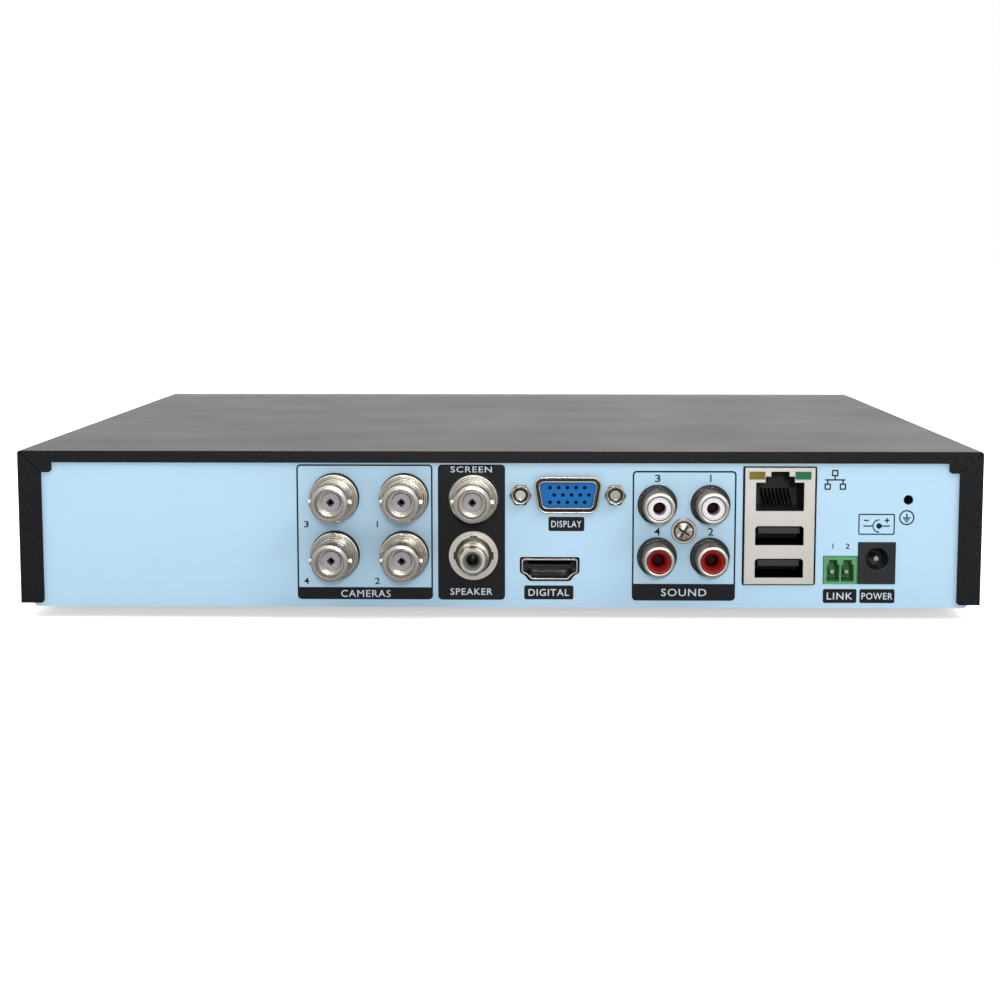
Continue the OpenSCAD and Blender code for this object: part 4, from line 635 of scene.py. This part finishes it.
def outputsPlate(bm, box, corner):  # the dark field behind the two output jacks, open at their holes
    x, lowJack = middle("sound_out_shell").x, middle("sound_out_shell").z
    highJack = max(s.z for s in bayonetSpots)
    half = (lowJack + highJack) / 2
    bands = [(topEdge - box["low"], half, lowJack, ("topLeft", "topRight")),
             (half, topEdge - box["top"], highJack, ("lowLeft", "lowRight"))]
    r = printing["jackHole"]
    for z0, z1, jack, square in bands:
        outline = denseBox(box["left"], box["right"], z0, z1, corner, square)
        angles = [math.atan2(p[1] - jack, p[0] - x) for p in outline]
        inkInto(bm, outline, around(x, jack, r, angles))


networkMark = {"squares": [(88.7, 5.7), (86.8, 9.3), (90.8, 9.3)], "half": 0.85, "line": 0.36}


def networkSign(bm):
    half, line = networkMark["half"], networkMark["line"]
    for x, drop in networkMark["squares"]:
        z = topEdge - drop
        inkInto(bm, roundBox(x - half, x + half, z - half, z + half, 0.2),
                roundBox(x - half + line, x + half - line, z - half + line, z + half - line, 0.05))
    (topX, topDrop), (leftX, lowDrop) = networkMark["squares"][:2]
    rightX = networkMark["squares"][2][0]
    bus = (topDrop + lowDrop) / 2
    strokeInto(bm, (topX, topDrop + half), (topX, bus), line)
    strokeInto(bm, (leftX - 0.7, bus), (rightX + 0.6, bus), line)
    for x in (leftX, rightX):
        strokeInto(bm, (x, bus), (x, lowDrop - half), line)


def groundSign(bm):
    x, drop, line = 107.8, 17.5, 0.34
    arcInto(bm, x, drop, 1.85, line, steps=40)
    strokeInto(bm, (x, drop - 1.05), (x, drop + 0.02), line)
    for k, half in enumerate((1.0, 0.65, 0.3)):
        strokeInto(bm, (x - half, drop + 0.1 + k * 0.5), (x + half, drop + 0.1 + k * 0.5), line)


def polaritySign(bm):
    box = {"left": 95.1, "right": 104.7, "top": 16.5, "low": 22.1}
    frameInto(bm, box, 0.4, 0.32)
    x, drop, line = 100.55, 19.75, 0.32
    strokeInto(bm, (96.4, drop), (98.75, drop), line)
    strokeInto(bm, (x, drop), (103.5, drop), line)
    dot = [math.radians(a) for a in range(0, 360, 15)]
    inkInto(bm, around(x, topEdge - drop, 0.75, dot), lift=0.03)
    arcInto(bm, x + 0.05, drop, 1.65, 0.3, 90, 270, 24)
    strokeInto(bm, (96.55, 18.25), (97.8, 18.25), line)
    strokeInto(bm, (102.0, 18.25), (103.3, 18.25), line)
    strokeInto(bm, (102.65, 17.6), (102.65, 18.9), line)


def printPanel():
    dark, light = bmesh.new(), bmesh.new()
    corner, line, lift = printing["corner"], printing["line"], printing["lift"]
    for key in ("cameras", "sound"):
        box = printing[key]
        frameInto(dark, box, corner, line)
        bar = roundBox(box["left"] + 0.01, box["right"] - 0.01, topEdge - box["low"] + 0.01,
                       topEdge - box["bar"], corner, ("topLeft", "topRight"))
        inkInto(dark, bar, lift=lift * 0.9)
    for left, right, top, low in printing["tags"]:
        inkInto(dark, roundBox(left, right, topEdge - low, topEdge - top, 0.5))
    outputsPlate(dark, printing["outputs"], corner)
    networkSign(dark)
    groundSign(dark)
    polaritySign(dark)
    for word in printing["darkWords"]:
        wordInto(dark, *word, weight=0.014, depth=lift)
    finishPiece("panel_print_dark", dark, "darkInk")
    for word in printing["whiteWords"]:
        wordInto(light, *word, weight=0.006, depth=lift + 0.03)
    finishPiece("panel_print_white", light, "whiteInk")


bayonetSpots = spotsOf("bayonet_jack_shells")
phonoSpots = spotsOf("phono_barrels")

bayonet = {"back": -0.9, "ringR": 6.45, "ringOut": 3.0, "ringEdge": 0.4, "ringLines": (5.9, 5.4),
           "barrelR": 4.85, "reach": 15.0, "edge": 0.42, "barrelLines": (5.6, 6.5, 7.4), "mouthR": 3.85,
           "cone": 1.2, "boreR": 3.5, "throat": 9.5, "lugR": 0.95, "lugBack": 3.6, "lugOut": 0.7,
           "coreR": 2.55, "coreOut": 11.0, "holeR": 0.96, "contactIn": 1.0}


def bayonetProfile():
    b = bayonet
    front, ring, barrel = b["reach"], b["ringR"], b["barrelR"]
    points = [(b["coreR"] + 0.05, b["back"]), (ring, b["back"]), (ring, b["ringOut"] - b["ringEdge"]),
              (ring - 0.12, b["ringOut"] - 0.14), (ring - b["ringEdge"], b["ringOut"])]
    for r in b["ringLines"]:  # fine turned lines on the ring's face
        points += [(r + 0.07, b["ringOut"]), (r, b["ringOut"] - 0.1), (r - 0.07, b["ringOut"])]
    points += [(barrel + 0.14, b["ringOut"]), (barrel, b["ringOut"] + 0.2)]
    for out in b["barrelLines"]:
        points += [(barrel, out), (barrel - 0.12, out + 0.15), (barrel, out + 0.3)]
    points += [(barrel, front - b["edge"]), (barrel - 0.1, front - 0.15), (barrel - b["edge"], front),
               (b["mouthR"] + 0.05, front), (b["mouthR"], front - 0.06), (b["mouthR"] - 0.07, front - 0.16),
               (b["boreR"], front - b["cone"]), (b["boreR"], b["throat"]), (b["coreR"] + 0.05, b["throat"]),
               (b["coreR"] + 0.05, b["back"])]
    return points


def paintedRingShade(p):  # the ring's side and the fine turned lines, which get painted shade
    b = bayonet
    r, out = min(offAxis(p, s.x, s.z) for s in bayonetSpots), panelFace - p.y
    onRim = r > b["ringR"] - 0.03 and out < b["ringOut"] - 0.3
    onRing = b["barrelR"] + 0.3 < r < b["ringR"] - 0.3 and b["ringOut"] - 0.09 < out < b["ringOut"] - 0.01
    onBarrel = b["barrelR"] - 0.12 < r < b["barrelR"] - 0.02 and out < b["barrelLines"][-1] + 0.3
    return onRim or onRing or (onBarrel and out > b["barrelLines"][0])


def buildBayonets():  # one jack is turned, given its lugs, and set at every place by the tree
    b = bayonet
    bm = bmesh.new()
    latheInto(bm, bayonetProfile(), 0.0, 0.0, 80, 0.0)
    for side in (-1, 1):
        middleR = b["barrelR"] + b["lugOut"] / 2 - 0.25
        at = Matrix.Translation((side * middleR, b["lugBack"] - b["reach"], 0))
        turn = Matrix.Rotation(side * math.pi / 2, 4, "Y")
        bmesh.ops.create_cone(bm, cap_ends=True, segments=24, radius1=b["lugR"], radius2=b["lugR"] * 0.9,
                              depth=b["lugOut"] + 0.5, matrix=at @ turn)
    spots = [(s.x, panelFace, s.z) for s in bayonetSpots]
    copies = setAtPoints("bayonet_shells_turned", drawnObject("bayonetSource", bm), spots, "nickel")
    copies.data.materials.append(finish["paintedShadeMetal"])
    # painted shade on the ring's side and in its turned lines
    paintWhere(copies, len(copies.data.materials) - 1, paintedRingShade)
    settle(copies, ("bayonet_jack_shells",), 30.0)


def coreFaceInto(bm, x, z, out, r, hole):  # the insulator's front, with a hole of four shallow lobes
    angles = [2 * math.pi * k / 48 for k in range(48)]
    outline = around(x, z, r, angles)
    reach = [hole * (1 + 0.12 * math.cos(4 * a)) for a in angles]
    lobes = [(x + c * math.cos(a), z + c * math.sin(a)) for a, c in zip(angles, reach)]
    slabInto(bm, outline, panelFace - out, panelFace - out + 0.5, lobes)


def contactInto(bm, x, z, front, inner=0.5, outer=0.93, slit=0.3):  # four spring fingers around a hole
    gapOut, gapIn = math.asin(slit / 2 / outer), math.asin(slit / 2 / inner)
    for quarter in range(4):
        start = math.radians(45 + quarter * 90)
        arcOut = [start + gapOut + (math.pi / 2 - 2 * gapOut) * k / 5 for k in range(6)]
        arcIn = [start + gapIn + (math.pi / 2 - 2 * gapIn) * k / 5 for k in range(6)]
        loop = around(x, z, outer, arcOut) + around(x, z, inner, reversed(arcIn))
        slabInto(bm, loop, panelFace - front, panelFace - front + 5.0)


soundOut = {"coreR": 2.48, "coreOut": 10.6, "holeR": 1.76, "tubeR": 1.42, "tubeOut": 9.0,
            "dishR": 5.6, "dishLow": 0.7, "dishHigh": 1.4}


def buildCores():  # the insulators with their sprung contacts, seen down the barrels
    b, s = bayonet, soundOut
    front = b["coreOut"]
    cores, grey, contacts = bmesh.new(), bmesh.new(), bmesh.new()
    for p in bayonetSpots:
        latheInto(cores, [(1.12, -0.8), (b["boreR"] - 0.02, -0.8), (b["boreR"] - 0.02, 2.0),
                          (b["coreR"], 2.05), (b["coreR"], front - 0.22), (b["coreR"] - 0.08, front - 0.07),
                          (b["coreR"] - 0.25, front - 0.01), (b["coreR"] - 0.5, front - 0.01),
                          (1.12, front - 0.5), (1.12, -0.8)], p.x, p.z, 56)
        coreFaceInto(cores, p.x, p.z, front, b["coreR"] - 0.25, b["holeR"])
        contactInto(contacts, p.x, p.z, front - b["contactIn"])
    out = middle("sound_out_shell")
    latheInto(grey, [(s["holeR"], -0.8), (s["coreR"], -0.8), (s["coreR"], s["coreOut"] - 0.1),
                     (s["coreR"] - 0.08, s["coreOut"]), (2.02, s["coreOut"]),
                     (s["holeR"], s["coreOut"] - 0.5), (s["holeR"], -0.8)], out.x, out.z, 56)
    latheInto(contacts, [(s["tubeR"], 1.0), (s["holeR"] - 0.03, 1.0), (s["holeR"] - 0.03, s["tubeOut"]),
                         (s["tubeR"], s["tubeOut"]), (s["tubeR"], 1.0)], out.x, out.z, 40)
    finishPiece("jack_cores", cores, "lilac", ("jack_insulators",))
    finishPiece("sound_out_core", grey, "greyCore")
    # the contact tubes get painted shade, dark as they sit deep in the barrels
    finishPiece("jack_contact_tubes", contacts, "paintedShadeMetal", ("jack_contacts",))
    shell = softened("sound_out_shell", "satinNickel", 0.1, others=("paintedShadeMetal",))
    # painted shade on the dished part of the flange's face
    paintWhere(shell, 1, lambda p: offAxis(p, out.x, out.z) < s["dishR"]
               and s["dishLow"] < panelFace - p.y < s["dishHigh"])


phono = {"r": 4.15, "neckR": 3.9, "shoulder": 1.5, "reach": 9.4, "back": -3.4, "insertR": 3.0, "holeR": 1.7}


def phonoInsert(isRed):  # profile of the moulded insert: a flat ring, or a cup
    p = phono
    f = p["reach"]
    points = [(p["holeR"], -2.4), (p["insertR"], -2.4), (p["insertR"], f - 0.6)]
    if isRed:
        points += [(p["insertR"] - 0.1, f - 0.5), (p["insertR"] - 0.3, f - 0.58), (2.15, f - 1.5),
                   (p["holeR"], f - 2.6)]
    else:
        points += [(p["insertR"] - 0.12, f - 0.44), (2.62, f - 0.42), (2.56, f - 0.52), (2.5, f - 0.42),
                   (p["holeR"] + 0.14, f - 0.42), (p["holeR"], f - 0.6)]
    return points + [(p["holeR"], -2.4)]


def buildPhonos():
    p = phono
    f, top = p["reach"], max(s.z for s in phonoSpots)
    barrels, white, red, deep = bmesh.new(), bmesh.new(), bmesh.new(), bmesh.new()
    inner = p["insertR"] + 0.02
    for s in phonoSpots:
        latheInto(barrels, [(inner, p["back"]), (p["neckR"], p["back"]), (p["neckR"], p["shoulder"] - 0.05),
                            (p["r"], p["shoulder"]), (p["r"], f - 0.55), (p["r"] - 0.1, f - 0.28),
                            (p["r"] - 0.35, f - 0.05), (p["r"] - 0.5, f), (inner + 0.42, f),
                            (inner + 0.22, f - 0.16), (inner + 0.08, f - 0.7), (inner, f - 0.9),
                            (inner, p["back"])], s.x, s.z, 72)
        isRed = abs(s.z - top) > 1
        latheInto(red if isRed else white, phonoInsert(isRed), s.x, s.z, 64)
        # a dark red floor of painted shade down each insert's hole
        latheInto(deep, [(0.0, 0.0), (p["holeR"] - 0.02, 0.0), (p["holeR"] - 0.02, 3.6), (1.1, 4.0),
                         (0.0, 4.0)], s.x, s.z, 32)
    finishPiece("phono_barrels_turned", barrels, "dullNickel", ("phono_barrels",))
    finishPiece("white_insert_rings", white, "whiteCore", ("white_inserts",))
    finishPiece("red_insert_cups", red, "redCore", ("red_inserts",))
    finishPiece("phono_hole_floors", deep, "paintedRedHoleShade")


screw = {"washerR": 3.35, "washer": 0.5, "grooveR": 2.72, "headR": 2.4, "head": 1.5,
         "slot": 0.7, "across": 3.3, "deep": 1.2, "turn": 32}


def inScrewShade(r, out, floor):  # the bottom of the recess and of the ring around the head
    s = screw
    inRing = s["headR"] - 0.2 < r < s["grooveR"] - 0.01 and out < s["washer"] - 0.01
    return inRing or (r < 1.7 and abs(out - floor) < 0.25)


def buildPanelScrew():  # a washer and a domed head with a cross recess cut into it
    s = screw
    at = middle("panel_screw")
    bm = bmesh.new()
    latheInto(bm, [(0.0, -2.0), (1.3, -2.0), (1.3, 0.0), (s["washerR"], 0.0),
                   (s["washerR"], s["washer"] - 0.12),
                   (s["washerR"] - 0.12, s["washer"]), (s["grooveR"], s["washer"]),
                   (s["grooveR"] - 0.08, s["washer"] - 0.35), (s["headR"], s["washer"] - 0.35),
                   (s["headR"] - 0.15, s["washer"] + 0.8), (s["headR"] - 0.75, s["washer"] + 1.3),
                   (1.0, s["washer"] + s["head"] - 0.06), (0.0, s["washer"] + s["head"])], 0, 0, 64, 0.0)
    head = drawnObject("screwSource", bm)
    cut = bmesh.new()
    for a, c in ((s["across"] / 2, s["slot"] / 2), (s["slot"] / 2, s["across"] / 2)):
        boxInto(cut, (-a, -s["washer"] - s["head"] - 1, -c), (a, -s["washer"] - s["head"] + s["deep"], c))
    turn = Matrix.Rotation(math.radians(s["turn"]), 3, "Y")
    bmesh.ops.rotate(cut, cent=(0, 0, 0), matrix=turn, verts=cut.verts)
    tool = drawnObject("recessSource", cut)
    recess = head.modifiers.new("recess", "BOOLEAN")
    recess.operation = "DIFFERENCE"
    recess.use_self = True
    recess.object = tool
    piece = bakedCopy(head, "panel_screw_head")
    bpy.data.objects.remove(tool)
    piece.data.transform(Matrix.Translation(Vector((at.x, panelFace, at.z)) * mm))
    giveFinishes(piece, ("hardware", "paintedShadeMetal"))
    floor = s["washer"] + s["head"] - s["deep"]
    # painted shade in the cross recess and in the groove around the head
    paintWhere(piece, 1, lambda p: inScrewShade(offAxis(p, at.x, at.z), panelFace - p.y, floor))
    settle(piece, ("panel_screw",), 32.0)


display = {"w": 17.7, "h": 9.6, "r": 2.4, "lean": 10, "pins": 5, "pitch": 2.29, "rowPitch": 1.95,
           "shift": 1.1, "first": -0.14, "pinR": 0.5, "insertOut": 1.0, "valley": (0.45, 1.1),
           # the drawn rim as (how far in from the outside, how far out of the panel)
           "rim": [(0.75, -0.9), (0.35, 0.2), (0.05, 1.0), (0.0, 1.4), (0.06, 1.56),
                   (0.18, 1.62), (0.3, 1.58), (0.42, 1.35), (0.5, 0.7), (0.62, 0.5), (0.98, 0.5),
                   (1.06, 0.7), (1.1, 1.38), (1.18, 1.55),
                   (1.28, 1.6), (1.38, 1.55), (1.45, 1.4), (1.5, 0.9), (1.52, -0.9)]}


def trapezoidOutline(w, h, r, steps=8):  # a loop about its centre, wider at the top, with round corners
    slope = display["lean"]
    lean = (h - 2 * r) * math.tan(math.radians(slope))
    x, z = w / 2 - r, h / 2 - r
    corners = [(x, z, -slope, 90), (-x, z, 90, 180 + slope), (-x + lean, -z, 180 + slope, 270),
               (x - lean, -z, 270, 360 - slope)]
    points = []
    for cx, cz, a0, a1 in corners:
        points += around(cx, cz, r, [math.radians(a0 + (a1 - a0) * k / steps) for k in range(steps + 1)])
    return points


def loftInto(bm, rings, x, z):  # skins a closed run of outlines, each a smaller copy of the socket's
    rows = []
    for inset, out in rings:
        loop = trapezoidOutline(display["w"] - 2 * inset, display["h"] - 2 * inset,
                                max(0.4, display["r"] - inset * 0.85))
        rows.append([bm.verts.new((x + px, panelFace - out, z + pz)) for px, pz in loop])
    n = len(rows[0])
    for a, b in zip(rows, rows[1:] + rows[:1]):
        for k in range(n):
            bm.faces.new((a[k], a[(k + 1) % n], b[(k + 1) % n], b[k]))


def buildDisplaySocket():
    d = display
    low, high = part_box("display_jackscrews")
    x, z = (low.x + high.x) / 2 / mm, (low.z + high.z) / 2 / mm
    shell = bmesh.new()
    loftInto(shell, d["rim"], x, z)
    piece = finishPiece("display_shell_drawn", shell, "drawnShell",
                        ("display_socket_shell",), 50.0, ("paintedShadeMetal",))
    # painted shade in the valley of the drawn rim
    paintWhere(piece, 1, lambda p: d["valley"][0] < panelFace - p.y < d["valley"][1])
    softened("display_socket_insert", "socketBlue", 0.06)
    # black discs of painted shade down the pin holes
    floor = bmesh.new()
    r = d["pinR"] - 0.01
    latheInto(floor, [(0.0, 0.0), (r, 0.0), (r, 0.1), (0.0, 0.1)], 0, 0, 20, 0.0)
    spots = [(x + (col - d["pins"] // 2) * d["pitch"] + (d["shift"] if row == 0 else 0) + d["first"],
              panelFace - d["insertOut"] + 0.35, z + row * d["rowPitch"])
             for row in (-1, 0, 1) for col in range(d["pins"])]
    piece = setAtPoints("display_hole_floors", drawnObject("floorSource", floor), spots, "paintedHoleShade")
    settle(piece, (), 30.0)
    screws = softened("display_jackscrews", "hardware", 0.1, others=("paintedShadeMetal",))
    sides = [spot.x for spot in spotsOf("display_jackscrews")]
    # painted shade in the jackscrews' countersinks and threaded holes
    paintWhere(screws, 1, lambda p: min(offAxis(p, side, z) for side in sides) < 2.0
               and panelFace - p.y > 0.3)


lights = {"wide": 4.1, "tall": 2.0}
contacts = {"columns": (-3.5, -1.0, 1.0, 3.5), "wide": 0.9, "long": 6.5, "thick": 0.06,
            "rise": 2.9, "behind": 1.3}


shadeLiner = {"wall": 0.25, "tall": 5.12, "deep": 13.8, "rows": 8.7}


def shadeLinerInto(bm, x0, x1, z):  # a black sleeve of painted shade behind one data opening, so nothing behind it shows
    wall, tall, y = shadeLiner["wall"], shadeLiner["tall"], panelFace - 0.05
    outer = [(x0 - wall, z - wall), (x1 + wall, z - wall),
             (x1 + wall, z + tall + wall), (x0 - wall, z + tall + wall)]
    inner = [(x0, z), (x1, z), (x1, z + tall), (x0, z + tall)]
    slabInto(bm, outer, y, y + shadeLiner["deep"], inner)


def buildStack():  # the network and data stack: bevelled shell, lights, tongues and contact strips
    softened("jack_stack_shell", "stackSatin", 0.22, angle=40.0)
    softened("network_insert", "blackPlastic", 0.1)
    softened("data_socket_tongues", "greyPlastic", 0.15)
    low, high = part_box("network_lights")
    half, z = lights["wide"] / 2, (low.z + high.z) / 2 / mm
    spots = (("network_light_left", low.x / mm + half, "oliveLight", ("network_lights",)),
             ("network_light_right", high.x / mm - half, "greenLight", ()))
    for name, x, material, replaced in spots:
        bm = bmesh.new()
        outline = roundBox(x - half, x + half, z - lights["tall"] / 2, z + lights["tall"] / 2, 0.25)
        slabInto(bm, outline, low.y / mm, high.y / mm)
        finishPiece(name, bm, material, replaced)
    # black sleeves of painted shade inside the data openings
    sleeve = bmesh.new()
    tongueLow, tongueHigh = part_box("data_socket_tongues")
    for row in (0.0, shadeLiner["rows"]):
        shadeLinerInto(sleeve, tongueLow.x / mm, tongueHigh.x / mm, tongueLow.z / mm + row)
    finishPiece("data_socket_sleeves", sleeve, "paintedHoleShade")
    c = contacts
    strip = bmesh.new()
    boxInto(strip, (-c["wide"] / 2, 0.0, -c["thick"]), (c["wide"] / 2, c["long"], 0.0))
    centre = (tongueLow.x + tongueHigh.x) / 2 / mm
    rows = [tongueLow.z / mm + c["rise"] + row for row in (0.0, shadeLiner["rows"])]
    places = [(centre + dx, panelFace + c["behind"], z) for z in rows for dx in c["columns"]]
    # the strips get painted shade, dark as they lie in the shadow of the openings
    piece = setAtPoints("data_contacts", drawnObject("stripSource", strip), places, "paintedShadeMetal")
    settle(piece, (), 30.0)


plainNodes = {  # CAD nodes that keep their shape, by finish
    "panelPaint": "rear_label",
    "galvanised": "bottom_chassis coil_magnets",
    "rubber": "feet",
    "screwCoat": "cover_screws",
    "windowTint": "infrared_window",
    "clearResin": "light_pipes status_leds",
    "boardGreen": "front_board main_board drive_board",
    "blackPlastic": "infrared_receiver fan_frame",
    "greyVinyl": "front_cable",
    "gold": "board_standoffs",
    "hardware": "board_screws terminal_pins power_jack_pin drive_lid_screws drive_screws",
    "chipPlastic": "processor chips",
    "anodised": "heat_sink",
    "sleeve": "capacitors",
    "ferrite": "inductors",
    "brushed": "coin_cell drive_lid spindle_hub actuator_arm",
    "nylon": "board_sockets",
    "jackBlack": "jack_blocks phono_block",
    # painted shade: the network contacts are dark as they lie in shadow
    "paintedShadeMetal": "network_contacts",
    "castAlloy": "drive_base",
    "mirror": "platters",
    "redVinyl": "data_cable fan_parts",
    "yellowVinyl": "power_cable",
    "greyPlastic": "fan_rotor",
}

for material, nodes in plainNodes.items():
    for node in nodes.split():
        giveFinishes(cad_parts[node], (material,))
softened("top_cover", "coverCoat", 0.18, segments=3)
softened("front_bezel", "bezelPlastic", 0.25, angle=50.0)
print("casing done")
buildBayonets()
buildCores()
buildPhonos()
buildPanelScrew()
print("jacks done")
buildDisplaySocket()
softened("hd_socket_shell", "hardware", 0.06)
softened("hd_socket_tongue", "blackPlastic", 0.1)
buildStack()
softened("terminal_block", "terminalGreen", 0.12)
softened("power_jack_body", "jackBlack", 0.2)
print("sockets done")
printPanel()
print("print done")


studio = {"floorSize": 60.0, "floorTone": 0.88, "floorShadeInReflections": 0.25, "floorGlow": 0.55,
          "skyFront": 0.31, "skyInMetal": 0.72, "skyBack": 1.5, "skyTop": 1.75, "lean": 0.20,
          "keyPower": 3.6, "keySize": 0.07, "keyAt": (0.04, -1.2, 0.27),
          "sidePower": 3.0, "sideSize": 0.45, "sideAt": (0.75, -0.75, 0.85)}


def areaLight(name, power, size, at, target):
    data = bpy.data.lights.new(name, "AREA")
    data.energy = power
    data.size = size
    lamp = addObject(name, data)
    lamp.location = at
    lamp.rotation_euler = (Vector(target) - Vector(at)).to_track_quat("-Z", "Y").to_euler()


def buildFloor():  # white paper, given painted shade where the metal reflects it, so that the jacks keep their contrast
    half, tone = studio["floorSize"] / 2, studio["floorTone"]
    mesh = bpy.data.meshes.new("floor")
    corners = [(-half, -half, 0), (half, -half, 0), (half, half, 0), (-half, half, 0)]
    mesh.from_pydata(corners, [], [(0, 1, 2, 3)])
    floor = addObject("floor", mesh)
    material, tree, surface, place = startMaterial("floorPaper")
    surface.inputs["Base Color"].default_value = (tone, tone, tone, 1)
    # painted reflection: the floor is reflected darker in the metal than it is
    paintedShadeInReflections(material, (studio["floorShadeInReflections"],) * 3)
    path = tree.nodes.new("ShaderNodeLightPath")
    glow = mathNode(tree, "MULTIPLY", path.outputs["Is Camera Ray"], studio["floorGlow"])
    surface.inputs["Emission Color"].default_value = (1, 1, 1, 1)
    tree.links.new(glow, surface.inputs["Emission Strength"])
    surface.inputs["Roughness"].default_value = 0.9
    surface.inputs["Specular IOR Level"].default_value = 0.0
    mesh.materials.append(material)


def buildSky():  # plain white to the camera; to the rest, bright above and behind, dim in front
    world = bpy.data.worlds.new("studio")
    bpy.context.scene.world = world
    world.use_nodes = True
    tree = world.node_tree
    tree.nodes.clear()
    out = tree.nodes.new("ShaderNodeOutputWorld")
    place = tree.nodes.new("ShaderNodeTexCoord")
    way = addNode(tree, "SeparateXYZ", {}, {"Vector": place.outputs["Generated"]})
    smooth = {"interpolation_type": "SMOOTHSTEP"}
    path = tree.nodes.new("ShaderNodeLightPath")
    front = addNode(tree, "MapRange", {}, {"Value": path.outputs["Is Glossy Ray"],
                                           "To Min": studio["skyFront"], "To Max": studio["skyInMetal"]})
    low = addNode(tree, "MapRange", smooth, {"Value": way.outputs["Y"], "From Min": -0.6, "From Max": 0.5,
                                             "To Min": front.outputs["Result"], "To Max": studio["skyBack"]})
    up = addNode(tree, "MapRange", smooth, {"Value": way.outputs["Z"], "From Min": 0.3, "From Max": 0.75})
    side = addNode(tree, "MapRange", {}, {"Value": way.outputs["X"], "From Min": -1.0, "From Max": 1.0,
                                          "To Min": 1 - studio["lean"], "To Max": 1 + studio["lean"]})
    raised = addNode(tree, "Mix", {"data_type": "FLOAT"}, {"Factor": up.outputs["Result"],
                                                           "A": low.outputs["Result"], "B": studio["skyTop"]})
    strength = mathNode(tree, "MULTIPLY", raised.outputs["Result"], side.outputs["Result"])
    soft = addNode(tree, "Background", {}, {"Color": (1, 1, 1, 1), "Strength": strength})
    seen = addNode(tree, "Background", {}, {"Color": (1, 1, 1, 1), "Strength": 1.0})
    mix = tree.nodes.new("ShaderNodeMixShader")
    tree.links.new(path.outputs["Is Camera Ray"], mix.inputs[0])
    tree.links.new(soft.outputs[0], mix.inputs[1])
    tree.links.new(seen.outputs[0], mix.inputs[2])
    tree.links.new(mix.outputs[0], out.inputs["Surface"])


buildFloor()
buildSky()
panelMiddle = (0.0, panelFace * mm, 0.025)
areaLight("keyLight", studio["keyPower"], studio["keySize"], studio["keyAt"], panelMiddle)
areaLight("sideLight", studio["sidePower"], studio["sideSize"], studio["sideAt"], panelMiddle)
bpy.context.scene.view_settings.view_transform = "Standard"
print("studio lit")
